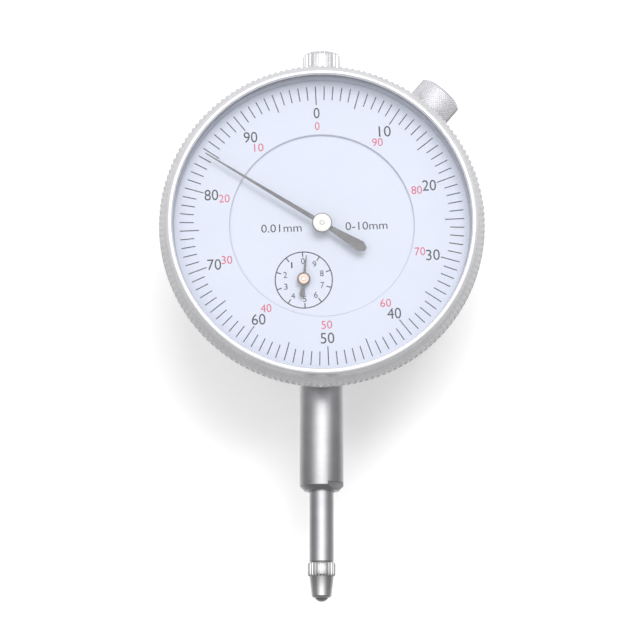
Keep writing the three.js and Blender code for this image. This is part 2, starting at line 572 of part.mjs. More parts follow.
function hairspringStud() {
  return at(...studPlace, rod(STUD_RADIUS, UPPER_PLATE.back + FIT, HAIRSPRING_FRONT + HAIRSPRING.height));
}

function innerDial() {
  const faces = { front: INNER_DIAL_FRONT, back: INNER_DIAL_FRONT + DIAL_THICKNESS };
  const disc = rod(DIAL_RING_INNER_RADIUS + INNER_DIAL_OVERLAP, faces.front, faces.back, LARGE);
  const middle = (faces.front + faces.back) / 2;
  const feet = dialFootPlaces.map((place) => at(...place, rod(DIAL_FOOT_RADIUS, middle, UPPER_PLATE.back)));
  const holes = [[0, 0], COUNTER].map((place) => through(place, ARBOR_RADIUS + CLEAR, faces));
  return cut(join(disc, ...feet), ...holes);
}

// ---- Springs ----------------------------------------------------------------------------------------------------

class Helix extends THREE.Curve {
  getPoint(t, target = new THREE.Vector3()) {
    const { x, radius, wire, turns, bottom } = MEASURING_SPRING;
    const top = GUIDE_PIN_HEIGHT - GUIDE_PIN_RADIUS - wire - FIT;
    const turn = 2 * Math.PI * turns * t;
    const mean = radius - wire;
    return target.set(x + mean * Math.cos(turn), mean * Math.sin(turn), bottom + wire + (top - bottom - wire) * t);
  }
}

function measuringSpring() {
  const { wire, turns, steps } = MEASURING_SPRING;
  const corners = [0, 90, 180, 270].map((angle) => onCircle(wire, angle));
  return new THREE.ExtrudeGeometry(outline(corners), {
    steps: turns * steps, extrudePath: new Helix(), bevelEnabled: false,
  });
}

// A flat spiral strip, from the collet out to the stud.
function hairspring() {
  const { turns, inner, outer, height, strip, steps } = HAIRSPRING;
  const count = Math.round(turns * steps);
  const spiral = (side) => Array.from({ length: count + 1 }, (_, i) => {
    const share = i / count;
    return onCircle(inner + (outer - inner) * share + side * strip / 2, 360 * turns * (share - 1));
  });
  return sheet(outline([...spiral(1), ...spiral(-1).reverse()]), HAIRSPRING_FRONT, HAIRSPRING_FRONT + height);
}

// ---- Spindle and what rides on it -------------------------------------------------------------------------------

function rackSpaces() {
  const beyond = -SPINDLE_RADIUS - OVER;
  const floor = TOOTH.dedendum * RACK_PITCH - RACK_LINE;
  const end = COUNTER_Z + RACK_TEETH_ABOVE * RACK_PITCH;
  const start = end - RACK_TEETH * RACK_PITCH;
  const points = [[beyond, start], [floor, start]];
  for (let i = 0; i < RACK_TEETH; i += 1) {
    const middle = start + (i + 0.5) * RACK_PITCH;
    for (const [across, height] of TOOTH_BENDS) points.push([-RACK_LINE - height * RACK_PITCH, middle + across * RACK_PITCH]);
  }
  points.push([floor, end], [beyond, end]);
  return sheet(outline(points.reverse()), -SPINDLE_RADIUS - OVER, SPINDLE_RADIUS + OVER);
}

function spindle() {
  const top = CAP_BOTTOM + CAP_LENGTH - CAP_ROOF - FIT;
  const bar = alongZ(turned([
    [0, top], [CAP_SHANK_RADIUS, top], [CAP_SHANK_RADIUS, CAP_BOTTOM], [SPINDLE_RADIUS, CAP_BOTTOM],
    [SPINDLE_RADIUS, SPINDLE_END + SPINDLE_EDGE], [SPINDLE_RADIUS - SPINDLE_EDGE, SPINDLE_END], [0, SPINDLE_END],
  ], MEDIUM));
  const threadTop = SPINDLE_END + THREAD_LENGTH + THREAD_RELIEF;
  const threadHole = alongZ(rod(THREAD_RADIUS + FIT, SPINDLE_END - OVER, threadTop, MEDIUM));
  const pinHole = alongX(rod(GUIDE_PIN_RADIUS + FIT, -GUIDE_PIN_ROOT - FIT, SPINDLE_RADIUS + OVER));
  return cut(bar, rackSpaces(), threadHole, pinHole.translate(0, 0, GUIDE_PIN_HEIGHT));
}

const COLLAR_TOP = SPINDLE_END - FIT;
const COLLAR_BOTTOM = COLLAR_TOP - COLLAR_LENGTH;
const CONE_BOTTOM = COLLAR_BOTTOM - CONE_LENGTH;

function contactPoint() {
  const collarRadius = SPINDLE_RADIUS + COLLAR_OVERHANG;
  const body = alongZ(turned([
    [0, COLLAR_TOP + THREAD_LENGTH], [THREAD_RADIUS, COLLAR_TOP + THREAD_LENGTH], [THREAD_RADIUS, COLLAR_TOP],
    [collarRadius - COLLAR_EDGE, COLLAR_TOP], [collarRadius, COLLAR_TOP - COLLAR_EDGE],
    [collarRadius, COLLAR_BOTTOM + COLLAR_EDGE], [SPINDLE_RADIUS, COLLAR_BOTTOM],
    [CONE_TIP_RADIUS, CONE_BOTTOM], [0, CONE_BOTTOM],
  ], MEDIUM));
  return cut(body, ball(FIT));
}

function ball(extra = 0) {
  const centre = CONE_BOTTOM - BALL_SHOWING + BALL_RADIUS;
  return new THREE.SphereGeometry(BALL_RADIUS + extra, SMALL, SMALL - 2).translate(0, 0, centre);
}

function guidePin() {
  return alongX(rod(GUIDE_PIN_RADIUS, -GUIDE_PIN_ROOT, GUIDE_PIN_END)).translate(0, 0, GUIDE_PIN_HEIGHT);
}

function liftingCap() {
  const top = CAP_BOTTOM + CAP_LENGTH;
  const bottom = CAP_BOTTOM + FIT;
  const bore = CAP_SHANK_RADIUS + FIT;
  const roof = top - CAP_ROOF;
  const bevel = CAP_CHAMFER / 2;
  return alongZ(turned([
    [0, top], [CAP_RADIUS - CAP_CHAMFER, top], [CAP_RADIUS, top - CAP_CHAMFER], [CAP_RADIUS, CAP_BOTTOM + bevel],
    [CAP_RADIUS - bevel, bottom], [bore, bottom], [bore, roof], [0, roof],
  ], MEDIUM));
}

// ---- Arbors, wheels and hands -----------------------------------------------------------------------------------

const towardsCentre = Math.atan2(-COUNTER_Z, -COUNTER_X) / RAD;

function arbor(front, back, seatBack) {
  return turned([
    [0, back], [ARBOR_RADIUS, back], [ARBOR_RADIUS, seatBack], [HAND_SEAT_RADIUS, seatBack],
    [HAND_SEAT_RADIUS, front], [0, front],
  ]);
}

function rackPinion() {
  const half = RACK_PINION_LENGTH / 2;
  const shaft = arbor(DIAL_FRONT - SMALL_HUB.frontLift - FIT, REAR_BRIDGE.back + ARBOR_END, INNER_DIAL_FRONT);
  return join(shaft, gear(RACK_PINION_TEETH, RACK_PITCH, 0, -half, half));
}

function centrePinion() {
  const middle = (WHEEL_FRONT + WHEEL_BACK) / 2;
  const half = CENTRE_PINION_LENGTH / 2;
  const firstTooth = towardsCentre + 180 / CENTRE_PINION_TEETH;
  const shaft = arbor(DIAL_FRONT - MAIN_HUB.frontLift - FIT, LOWER_PLATE.back + ARBOR_END, INNER_DIAL_FRONT);
  return join(shaft, gear(CENTRE_PINION_TEETH, TRAIN_PITCH, firstTooth, middle - half, middle + half));
}

function wheel(firstTooth) {
  const disc = gear(WHEEL_TEETH, TRAIN_PITCH, firstTooth, WHEEL_FRONT, WHEEL_BACK);
  return cut(disc, through([0, 0], ARBOR_RADIUS + FIT, { front: WHEEL_FRONT, back: WHEEL_BACK }));
}

const takeupArbor = () => rod(ARBOR_RADIUS, UPPER_PLATE.front, LOWER_PLATE.back + ARBOR_END);

function collet() {
  const radius = HAIRSPRING.inner - HAIRSPRING.strip / 2 - FIT;
  return tube(radius, ARBOR_RADIUS + FIT, HAIRSPRING_FRONT, HAIRSPRING_FRONT + HAIRSPRING.height);
}

// A hand: a tapered needle, a round boss and a club-shaped tail cut to a blunt point.
function hand({ tail, boss, root, tip, club, lift, thickness }, length, core) {
  const faces = { front: DIAL_FRONT - lift, back: DIAL_FRONT - lift + thickness };
  const clubStart = tail - club * CLUB_TAPER;
  const end = club * CLUB_END;
  const blade = sheet(outline([
    [-root, 0], [-root, -boss], [-club, -clubStart], [-end, -tail], [end, -tail], [club, -clubStart],
    [root, -boss], [root, 0], [tip, length], [-tip, length],
  ]), faces.front, faces.back);
  return cut(join(blade, rod(boss, faces.front, faces.back, MEDIUM)), through([0, 0], core + FIT, faces));
}

function hub({ radius, frontLift, backLift, core }, blade) {
  const front = DIAL_FRONT - frontLift;
  const back = DIAL_FRONT - backLift;
  const under = DIAL_FRONT - blade.lift - FIT;
  const body = turned([
    [0, back], [core, back], [core, under], [radius, under], [radius, front + HUB_EDGE], [radius - HUB_EDGE, front],
    [0, front],
  ], MEDIUM);
  return cut(body, through([0, 0], HAND_SEAT_RADIUS + FIT, { front, back }, SMALL));
}

// ---- Bezel and clamp --------------------------------------------------------------------------------------------

function bezel() {
  const gripFront = BEZEL_BACK - BEZEL_GRIP_LENGTH;
  const neckBack = gripFront - BEZEL_GRIP_BEVEL;
  const skirtBack = BEZEL_BACK + SKIRT_LENGTH;
  const spigotBore = SPIGOT_RADIUS + CLEAR;
  const grooveRoof = SPIGOT_RADIUS + SNAP_RING_WIRE + FIT;
  const grooveFront = SNAP_RING_FRONT - FIT;
  const grooveBack = SNAP_RING_BACK + FIT;
  const dialSeat = DIAL_FRONT + DIAL_THICKNESS + FIT;
  return turned([
    [SKIRT_BORE, skirtBack], [SKIRT_RADIUS, skirtBack], [SKIRT_RADIUS, BEZEL_BACK],
    [BEZEL_RADIUS - BEZEL_GRIP_EDGE, BEZEL_BACK], [BEZEL_RADIUS, BEZEL_BACK - BEZEL_GRIP_EDGE],
    [BEZEL_RADIUS, gripFront], [BEZEL_OPENING + BEZEL_NECK_BACK_STEP, neckBack],
    [BEZEL_OPENING + BEZEL_NECK_FRONT_STEP, BEZEL_FRONT + BEZEL_RIM_ROUND],
    [BEZEL_OPENING + BEZEL_RIM_STEP, BEZEL_FRONT], [BEZEL_OPENING + BEZEL_LIP_EDGE, BEZEL_FRONT],
    [BEZEL_OPENING, BEZEL_FRONT + BEZEL_LIP_EDGE],
    [BEZEL_OPENING, GLASS_FRONT], [BEZEL_BORE, GLASS_FRONT], [BEZEL_BORE, dialSeat], [spigotBore, dialSeat],
    [spigotBore, grooveFront], [grooveRoof, grooveFront], [grooveRoof, grooveBack], [spigotBore, grooveBack],
    [spigotBore, BEZEL_BACK], [SKIRT_BORE, BEZEL_BACK], [SKIRT_BORE, skirtBack],
  ], LARGE);
}

const RING_RADIUS = BEZEL_BORE - RUNNING; // of all that lies inside the bezel
const glass = () => rod(RING_RADIUS, GLASS_FRONT + FIT, GLASS_BACK, LARGE);
const dialRing = () => tube(RING_RADIUS, DIAL_RING_INNER_RADIUS, DIAL_FRONT, DIAL_FRONT + DIAL_THICKNESS, LARGE);
const spacerRing = () => tube(RING_RADIUS, RING_RADIUS - SPACER_WALL, GLASS_BACK + FIT, DIAL_FRONT - FIT, LARGE);

// A round wire snap ring, open at one place, that holds the bezel on the case's spigot.
function snapRing() {
  const half = SNAP_RING_WIRE - FIT / 2;
  const ring = tube(SPIGOT_RADIUS + half, SPIGOT_RADIUS - half, SNAP_RING_FRONT, SNAP_RING_BACK, LARGE);
  return cut(ring, box(-SNAP_RING_OPENING / 2, SNAP_RING_OPENING / 2, BEZEL_FRONT, CASE_BACK, -BEZEL_RADIUS, 0));
}

function clampShoe() {
  const front = BEZEL_BACK + SHOE_FRONT_GAP - CLAMP_DEPTH;
  const plate = box(SHOE_INNER, SHOE_OUTER, front, SHOE_TAIL, -SHOE_WIDTH / 2, SHOE_WIDTH / 2);
  return cut(plate, alongX(rod(CLAMP_SHANK_RADIUS + CLEAR, SHOE_INNER - OVER, SHOE_OUTER + OVER)));
}

function clampScrew() {
  const edge = CLAMP_HEAD_RADIUS - CLAMP_HEAD_CHAMFER;
  return alongX(turned([
    [0, CLAMP_HEAD_END], [edge, CLAMP_HEAD_END], [CLAMP_HEAD_RADIUS, CLAMP_HEAD_END - CLAMP_HEAD_CHAMFER],
    [CLAMP_HEAD_RADIUS, CLAMP_HEAD_START + CLAMP_HEAD_CHAMFER / 2], [edge, CLAMP_HEAD_START],
    [CLAMP_SHANK_RADIUS, CLAMP_HEAD_START], [CLAMP_SHANK_RADIUS, CLAMP_SHANK_END], [0, CLAMP_SHANK_END],
  ], MEDIUM));
}

// ---- The scene graph --------------------------------------------------------------------------------------------

function fixedParts() {
  const group = new THREE.Group();
  group.add(
    piece("case", caseShell(), CASTING),
    piece("stem", stem(), SATIN),
    piece("lower_bush", lowerBush(), BRASS),
    piece("upper_bush", upperBush(), STEEL),
    piece("back_cover", backCover(), SATIN),
    piece("back_lug", backLug(), SATIN),
    ...coverScrews(),
    ...lugScrews(),
  );
  return group;
}

function movementFrame() {
  const group = new THREE.Group();
  group.add(
    piece("lower_plate", lowerPlate(), BRASS),
    piece("upper_plate", upperPlate(), BRASS),
    ...pillars(),
    ...smallScrews("pillar_screw", pillarPlaces, UPPER_PLATE.front, PILLAR_SCREW_LENGTH),
    ...smallScrews("plate_screw", plateScrewPlaces, LOWER_PLATE.front, PLATE_SCREW_LENGTH),
    piece("rear_bridge", rearBridge(), BRASS),
    ...bridgePosts(),
    piece("guide_block", guideBlock(), BRASS),
    piece("spring_post", springPost(), STEEL),
    piece("hairspring_stud", hairspringStud(), BRASS),
    piece("inner_dial", innerDial(), DIAL),
    bearing("centre_front_bush", [0, 0], UPPER_PLATE),
    bearing("centre_rear_bush", [0, 0], LOWER_PLATE),
    bearing("counter_front_bush", COUNTER, UPPER_PLATE),
    bearing("counter_rear_bush", COUNTER, REAR_BRIDGE),
    bearing("takeup_front_bush", TAKEUP, UPPER_PLATE),
    bearing("takeup_rear_bush", TAKEUP, LOWER_PLATE),
    piece("measuring_spring", measuringSpring(), STEEL),
    placed(piece("hairspring", hairspring(), STEEL), TAKEUP[0], 0, TAKEUP[1]),
  );
  return group;
}

function plunger() {
  const group = new THREE.Group();
  group.add(
    piece("spindle", spindle(), STEEL),
    piece("contact_point", contactPoint(), DARK_STEEL),
    piece("contact_ball", ball(), STEEL),
    piece("guide_pin", guidePin(), STEEL),
    piece("lifting_cap", liftingCap(), SATIN),
  );
  return group;
}

function turnedTo(mesh, degrees) {
  mesh.rotation.y = degrees * RAD;
  return mesh;
}

function counterTrain() {
  const group = new THREE.Group();
  group.position.set(COUNTER_X, 0, COUNTER_Z);
  group.add(
    piece("rack_pinion", rackPinion(), STEEL),
    piece("counter_gear", wheel(towardsCentre), BRASS),
    turnedTo(piece("counter_hand", hand(SMALL_HAND, SMALL_HAND_LENGTH, SMALL_HUB.core), DARK_STEEL), SMALL_HAND_REST),
    piece("counter_hub", hub(SMALL_HUB, SMALL_HAND), COPPER),
  );
  return group;
}

function centreTrain() {
  const group = new THREE.Group();
  group.add(
    piece("centre_pinion", centrePinion(), STEEL),
    turnedTo(piece("main_hand", hand(MAIN_HAND, MAIN_HAND_LENGTH, MAIN_HUB.core), DARK_STEEL), MAIN_HAND_REST),
    piece("main_hub", hub(MAIN_HUB, MAIN_HAND), IVORY),
  );
  return group;
}

function takeupTrain() {
  const group = new THREE.Group();
  group.position.set(TAKEUP[0], 0, TAKEUP[1]);
  group.add(
    piece("takeup_arbor", takeupArbor(), STEEL),
    piece("takeup_gear", wheel(towardsCentre + 180), BRASS),
    piece("hairspring_collet", collet(), BRASS),
  );
  return group;
}

function bezelParts() {
  const group = new THREE.Group();
  group.add(
    piece("bezel", bezel(), SATIN),
    piece("crystal", glass(), GLASS),
    piece("dial_ring", dialRing(), DIAL),
    piece("spacer_ring", spacerRing(), SATIN),
    piece("snap_ring", snapRing(), STEEL),
  );
  return group;
}

const indicator = new THREE.Group();
indicator.position.z = -STEM_MIDDLE;
indicator.add(
  fixedParts(), movementFrame(), plunger(), counterTrain(), centreTrain(), takeupTrain(), bezelParts(),
  clampFrame(piece("clamp_shoe", clampShoe(), STEEL), piece("clamp_screw", clampScrew(), SATIN)),
);

const root = new THREE.Group();
root.add(indicator);

export default root;
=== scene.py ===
# %% [markdown]
# # A dial indicator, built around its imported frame
# The frame holds every piece of the instrument as a plain solid. This lesson gives the pieces that can be seen
# their real surface: knurls, fine turning, a printed dial, a clear glass. All lengths are in metres, the dial
# faces -Y and the spindle runs down -Z.

# %% Load the frame
import bpy
import json
import math
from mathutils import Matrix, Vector


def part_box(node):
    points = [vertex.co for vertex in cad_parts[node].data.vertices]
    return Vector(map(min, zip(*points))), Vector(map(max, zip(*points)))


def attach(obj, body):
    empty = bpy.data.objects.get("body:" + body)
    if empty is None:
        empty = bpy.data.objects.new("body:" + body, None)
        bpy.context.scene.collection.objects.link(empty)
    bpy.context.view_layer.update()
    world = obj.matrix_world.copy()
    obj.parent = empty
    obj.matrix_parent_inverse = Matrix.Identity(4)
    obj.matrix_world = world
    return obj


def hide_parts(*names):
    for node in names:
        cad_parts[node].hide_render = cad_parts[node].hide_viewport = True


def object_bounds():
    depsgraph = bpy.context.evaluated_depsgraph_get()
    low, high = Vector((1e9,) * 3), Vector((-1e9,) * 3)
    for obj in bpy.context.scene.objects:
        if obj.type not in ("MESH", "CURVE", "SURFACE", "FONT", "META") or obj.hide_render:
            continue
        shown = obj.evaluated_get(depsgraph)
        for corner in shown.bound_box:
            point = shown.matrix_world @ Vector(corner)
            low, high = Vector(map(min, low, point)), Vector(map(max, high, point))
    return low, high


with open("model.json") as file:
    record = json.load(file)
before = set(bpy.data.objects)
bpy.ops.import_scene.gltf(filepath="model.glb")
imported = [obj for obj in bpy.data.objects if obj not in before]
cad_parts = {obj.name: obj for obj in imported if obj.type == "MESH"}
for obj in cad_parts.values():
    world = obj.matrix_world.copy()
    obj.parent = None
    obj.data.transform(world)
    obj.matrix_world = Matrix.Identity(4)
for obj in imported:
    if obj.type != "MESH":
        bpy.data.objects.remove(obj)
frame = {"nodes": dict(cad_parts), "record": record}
cad_low, cad_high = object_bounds()
MM = 0.001
JOINTS = {joint["name"]: joint for joint in frame["record"]["behaviour"]["joints"]}
DIAL_CENTRE = Vector(JOINTS["bezel_turn"]["pos_m"])
COUNTER_CENTRE = Vector((JOINTS["counter_turn"]["pos_m"][0], 0, JOINTS["counter_turn"]["pos_m"][2]))
print("frame:", len(frame["nodes"]), "nodes, dial centre at", DIAL_CENTRE)

# %% [markdown]
# ## The camera
# The instrument is seen from a little below the dial's axis. A long lens keeps the bezel nearly round, and the
# camera stands on a line that tilts down in front of the dial, so that more of the bezel's lower side shows.

# %% Set the camera
CAMERA_TILT = math.radians(-9.9)
CAMERA_TURN = math.radians(-0.4)
CAMERA_DISTANCE = 0.600
LENS = 183.2
AIM_BELOW_DIAL = 15.75 * MM
AIM_LEFT = 0.29 * MM

bpy.ops.object.select_all(action="DESELECT")
aim = DIAL_CENTRE + Vector((-AIM_LEFT, 0, -AIM_BELOW_DIAL))
level = math.cos(CAMERA_TILT)
back = Vector((math.sin(CAMERA_TURN) * level, -math.cos(CAMERA_TURN) * level, math.sin(CAMERA_TILT)))
bpy.ops.object.camera_add(location=aim + back * CAMERA_DISTANCE)
camera = bpy.context.object
camera.rotation_euler = (-back).to_track_quat("-Z", "Y").to_euler()
camera.data.lens = LENS
camera.data.clip_start = 0.01
camera.data.clip_end = 20
bpy.context.scene.camera = camera
print("camera at", camera.location)

# %% [markdown]
# ## Light and floor
# The instrument lies on a pale table, so the floor is a sheet behind its back, square to the dial. One broad
# soft light stands above and a little to the right, a weaker one fills the left, a third lights the back, and a
# pale sky fills the rest. Metal shows only what it mirrors, so reflections get a sky of their own: bright in front
# and behind, dark between, and darker below, which gives the steel its grey bands. The three lights aren't
# mirrored. The floor glows a little, and shows from its front side only.

# %% Place the lights and the floor
FLOOR_GAP = 1 * MM
FLOOR_SIZE = 3.0
SKY_STRENGTH = 0.5
MIRRORED_SKY = [(0.0, 1.0), (0.18, 0.62), (0.42, 0.27), (0.78, 0.34), (0.92, 0.95), (1.0, 2.0)]
SKY_BELOW = 0.6
SKY_ABOVE = 1.4
SKY_LOW = -0.5
SKY_HIGH = 0.6
TABLE_GLOW = 0.24


def aimed_light(name, place, target, size, power, shape_ratio=1.0):
    """A rectangular soft light at a place, turned to face a target."""
    bpy.ops.object.light_add(type="AREA", location=place)
    light = bpy.context.object
    light.name = name
    light.data.shape = "RECTANGLE"
    light.data.size = size
    light.data.size_y = size * shape_ratio
    light.data.energy = power
    light.visible_glossy = False
    light.rotation_euler = (Vector(target) - Vector(place)).to_track_quat("-Z", "Y").to_euler()
    return light


middle = (cad_low + cad_high) / 2
# name, place from the middle in metres, width in metres, power in watts, height as a share of the width
LIGHTS = [("key_softbox", (0.1, -0.84, 0.32), 0.5, 4.7, 0.8), ("fill_softbox", (-0.3, -0.85, -0.05), 0.4, 1.3, 1.4),
          ("rear_softbox", (0.25, 0.7, 0.5), 0.5, 5.0, 1.0)]
for name, offset, size, power, shape_ratio in LIGHTS:
    aimed_light(name, middle + Vector(offset), middle, size, power, shape_ratio)

world = bpy.data.worlds.new("studio_sky")
bpy.context.scene.world = world
world.use_nodes = True
sky_nodes, sky_links = world.node_tree.nodes, world.node_tree.links
sky = sky_nodes["Background"]
sky.inputs["Color"].default_value = (1.0, 1.0, 1.0, 1)
direction = sky_nodes.new("ShaderNodeTexCoord")
split = sky_nodes.new("ShaderNodeSeparateXYZ")
bands = sky_nodes.new("ShaderNodeMapRange")
bands.inputs["From Min"].default_value = 1.0
bands.inputs["From Max"].default_value = -1.0
mirrored = sky_nodes.new("ShaderNodeValToRGB")
for position, brightness in MIRRORED_SKY[1:-1]:
    mirrored.color_ramp.elements.new(position)
for element, (position, brightness) in zip(mirrored.color_ramp.elements, MIRRORED_SKY):
    element.position = position
    element.color = (brightness, brightness, brightness, 1)
rays = sky_nodes.new("ShaderNodeLightPath")
chosen = sky_nodes.new("ShaderNodeMix")
chosen.inputs["A"].default_value = SKY_STRENGTH
sky_links.new(direction.outputs["Generated"], split.inputs["Vector"])
sky_links.new(split.outputs["Y"], bands.inputs["Value"])
sky_links.new(bands.outputs["Result"], mirrored.inputs["Fac"])
sky_links.new(rays.outputs["Is Glossy Ray"], chosen.inputs["Factor"])
height = sky_nodes.new("ShaderNodeMapRange")
height.inputs["From Min"].default_value = SKY_LOW
height.inputs["From Max"].default_value = SKY_HIGH
height.inputs["To Min"].default_value = SKY_BELOW
height.inputs["To Max"].default_value = SKY_ABOVE
shaded = sky_nodes.new("ShaderNodeMath")
shaded.operation = "MULTIPLY"
sky_links.new(split.outputs["Z"], height.inputs["Value"])
sky_links.new(mirrored.outputs["Color"], shaded.inputs[0])
sky_links.new(height.outputs["Result"], shaded.inputs[1])
sky_links.new(shaded.outputs["Value"], chosen.inputs["B"])
sky_links.new(chosen.outputs["Result"], sky.inputs["Strength"])

bpy.ops.object.select_all(action="DESELECT")
floor_place = (middle.x, cad_high.y + FLOOR_GAP, middle.z)
bpy.ops.mesh.primitive_plane_add(size=FLOOR_SIZE, location=floor_place, rotation=(math.pi / 2, 0, 0))
floor = bpy.context.object
floor.name = "pale_table"
floor.visible_diffuse = False
floor.visible_shadow = False
floor.visible_glossy = False
bpy.context.scene.view_settings.view_transform = "Standard"
print("floor behind the instrument at y =", round(floor_place[1], 4))

# %% [markdown]
# ## Finishes
# Every finish is built from nodes: a base colour that wanders a little, a roughness that does the same, and a
# bump for the grain. The grain is a noise stretched along one direction, which reads as turning marks on steel,
# and unstretched noise reads as cast or painted metal.

# %% A helper that wires one finish
def new_finish(name):
    """An empty node material with its shader and object coordinates."""
    finish = bpy.data.materials.new(name)
    finish.use_nodes = True
    shader = finish.node_tree.nodes["Principled BSDF"]
    place = finish.node_tree.nodes.new("ShaderNodeTexCoord")
    return finish, shader, place


def add_noise(finish, place, scale, detail=3.0, roughness=0.6):
    """A noise whose size along X, Y and Z is set by scale, in waves a metre."""
    nodes, links = finish.node_tree.nodes, finish.node_tree.links
    mapping = nodes.new("ShaderNodeMapping")
    mapping.inputs["Scale"].default_value = scale
    noise = nodes.new("ShaderNodeTexNoise")
    noise.inputs["Scale"].default_value = 1.0
    noise.inputs["Detail"].default_value = detail
    noise.inputs["Roughness"].default_value = roughness
    links.new(place.outputs["Object"], mapping.inputs["Vector"])
    links.new(mapping.outputs["Vector"], noise.inputs["Vector"])
    return noise


def ramp_between(finish, source, low_color, high_color, low=0.3, high=0.7):
    """A colour that runs from one shade to another as the source grows."""
    ramp = finish.node_tree.nodes.new("ShaderNodeValToRGB")
    ramp.color_ramp.elements[0].position = low
    ramp.color_ramp.elements[0].color = (*low_color, 1)
    ramp.color_ramp.elements[1].position = high
    ramp.color_ramp.elements[1].color = (*high_color, 1)
    finish.node_tree.links.new(source, ramp.inputs["Fac"])
    return ramp.outputs["Color"]


def range_between(finish, source, low, high):
    """A number that runs between two values as the source runs from a fifth to four fifths."""
    span = finish.node_tree.nodes.new("ShaderNodeMapRange")
    span.inputs["From Min"].default_value = 0.2
    span.inputs["From Max"].default_value = 0.8
    span.inputs["To Min"].default_value = low
    span.inputs["To Max"].default_value = high
    finish.node_tree.links.new(source, span.inputs["Value"])
    return span.outputs["Result"]


def add_bump(finish, shader, source, depth, strength=1.0):
    """A bump of a given depth, in metres."""
    bump = finish.node_tree.nodes.new("ShaderNodeBump")
    bump.inputs["Strength"].default_value = strength
    bump.inputs["Distance"].default_value = depth
    finish.node_tree.links.new(source, bump.inputs["Height"])
    finish.node_tree.links.new(bump.outputs["Normal"], shader.inputs["Normal"])


def surface(name, color, shade, rough, metallic, grain, grain_depth, cloud=(300, 300, 300), specular=0.5):
    """One finish: colour and a darker shade, a range of roughness, and a grain of a given size and depth."""
    finish, shader, place = new_finish(name)
    clouds = add_noise(finish, place, cloud)
    marks = add_noise(finish, place, grain, detail=4.0)
    links = finish.node_tree.links
    links.new(ramp_between(finish, clouds.outputs["Fac"], shade, color), shader.inputs["Base Color"])
    links.new(range_between(finish, marks.outputs["Fac"], *rough), shader.inputs["Roughness"])
    shader.inputs["Metallic"].default_value = metallic
    shader.inputs["Specular IOR Level"].default_value = specular
    add_bump(finish, shader, marks.outputs["Fac"], grain_depth)
    return finish


# %% [markdown]
# ### Metals, paint and print
# Turning marks on the stem and spindle run round their axis, so their noise is squeezed along Z. On the bezel
# and the cover they run round the Y axis. The brass and steel of the movement get a milled grain.

# %% Make the finishes
ROUND_Z = (60, 60, 3200)
ROUND_Y = (90, 3200, 90)
EVEN = (2600, 2600, 2600)

plated = surface("satin_plate", (0.94, 0.94, 0.96), (0.87, 0.87, 0.90), (0.2, 0.32), 0.45, ROUND_Y, 0.002 * MM)
plated_z = surface("satin_plate_cap", (0.94, 0.94, 0.96), (0.87, 0.87, 0.90), (0.2, 0.32), 0.65, EVEN, 0.002 * MM)
stem_steel = surface("ground_steel", (0.66, 0.66, 0.68), (0.58, 0.58, 0.60), (0.27, 0.4), 1.0, ROUND_Z, 0.0008 * MM)
point_steel = surface("hardened_steel", (0.80, 0.79, 0.80), (0.66, 0.66, 0.67), (0.14, 0.28), 1.0, ROUND_Z,
                      0.002 * MM)
ball_steel = surface("polished_ball", (0.66, 0.66, 0.66), (0.56, 0.56, 0.56), (0.08, 0.16), 1.0, EVEN, 0.001 * MM)
bright_steel = surface("bright_steel", (0.62, 0.62, 0.63), (0.52, 0.52, 0.53), (0.2, 0.36), 1.0, EVEN, 0.003 * MM)
case_paint = surface("cast_case", (0.60, 0.61, 0.62), (0.52, 0.53, 0.54), (0.34, 0.5), 0.7, EVEN, 0.012 * MM)
cover_plate = surface("cover_plate", (0.70, 0.70, 0.71), (0.6, 0.6, 0.61), (0.26, 0.42), 1.0, ROUND_Y, 0.004 * MM)
brass = surface("milled_brass", (0.74, 0.55, 0.26), (0.62, 0.44, 0.2), (0.22, 0.4), 1.0, EVEN, 0.004 * MM)
spring_wire = surface("spring_wire", (0.5, 0.5, 0.52), (0.4, 0.4, 0.42), (0.2, 0.36), 1.0, EVEN, 0.003 * MM)
dial_paint = surface("dial_paint", (0.72, 0.76, 0.87), (0.70, 0.74, 0.86), (0.5, 0.62), 0.0, EVEN, 0.002 * MM,
                     cloud=(60, 60, 60), specular=0.3)
# painted shade: the spacer ring's bluish mid grey stands for the shadow in the gap above the dial
dark_ring = surface("spacer_painted_shade", (0.47, 0.49, 0.57), (0.41, 0.43, 0.50), (0.35, 0.5), 0.1, EVEN, 0.004 * MM)
black_ink = surface("black_ink", (0.022, 0.022, 0.03), (0.014, 0.014, 0.02), (0.5, 0.6), 0.0, EVEN, 0.002 * MM)
# painted shade: grey ink for the line that stands for the shadow at the step between the two dial parts
step_shade_ink = surface("step_shade_ink", (0.40, 0.42, 0.48), (0.36, 0.38, 0.44), (0.5, 0.6), 0.0, EVEN, 0.002 * MM)
red_ink = surface("red_ink", (0.72, 0.10, 0.20), (0.62, 0.07, 0.15), (0.5, 0.6), 0.0, EVEN, 0.002 * MM)
hand_steel = surface("blued_steel", (0.17, 0.17, 0.18), (0.13, 0.13, 0.14), (0.3, 0.44), 0.8, EVEN, 0.003 * MM)
ivory = surface("ivory_enamel", (0.93, 0.92, 0.88), (0.88, 0.86, 0.82), (0.25, 0.34), 0.0, EVEN, 0.002 * MM)
copper = surface("copper_hub", (0.78, 0.57, 0.49), (0.68, 0.48, 0.40), (0.22, 0.34), 1.0, EVEN, 0.003 * MM)
table_paint = surface("table_paint", (0.97, 0.97, 0.97), (0.96, 0.96, 0.96), (0.7, 0.8), 0.0, (40, 40, 40),
                      0.001 * MM,
                      cloud=(20, 20, 20), specular=0.1)
table_nodes, table_links = table_paint.node_tree.nodes, table_paint.node_tree.links
table_shader = table_nodes["Principled BSDF"]
table_shader.inputs["Emission Color"].default_value = (1, 1, 1, 1)
table_shader.inputs["Emission Strength"].default_value = TABLE_GLOW
side = table_nodes.new("ShaderNodeNewGeometry")
unseen = table_nodes.new("ShaderNodeBsdfTransparent")
one_sided = table_nodes.new("ShaderNodeMixShader")
table_links.new(side.outputs["Backfacing"], one_sided.inputs["Fac"])
table_links.new(table_shader.outputs["BSDF"], one_sided.inputs[1])
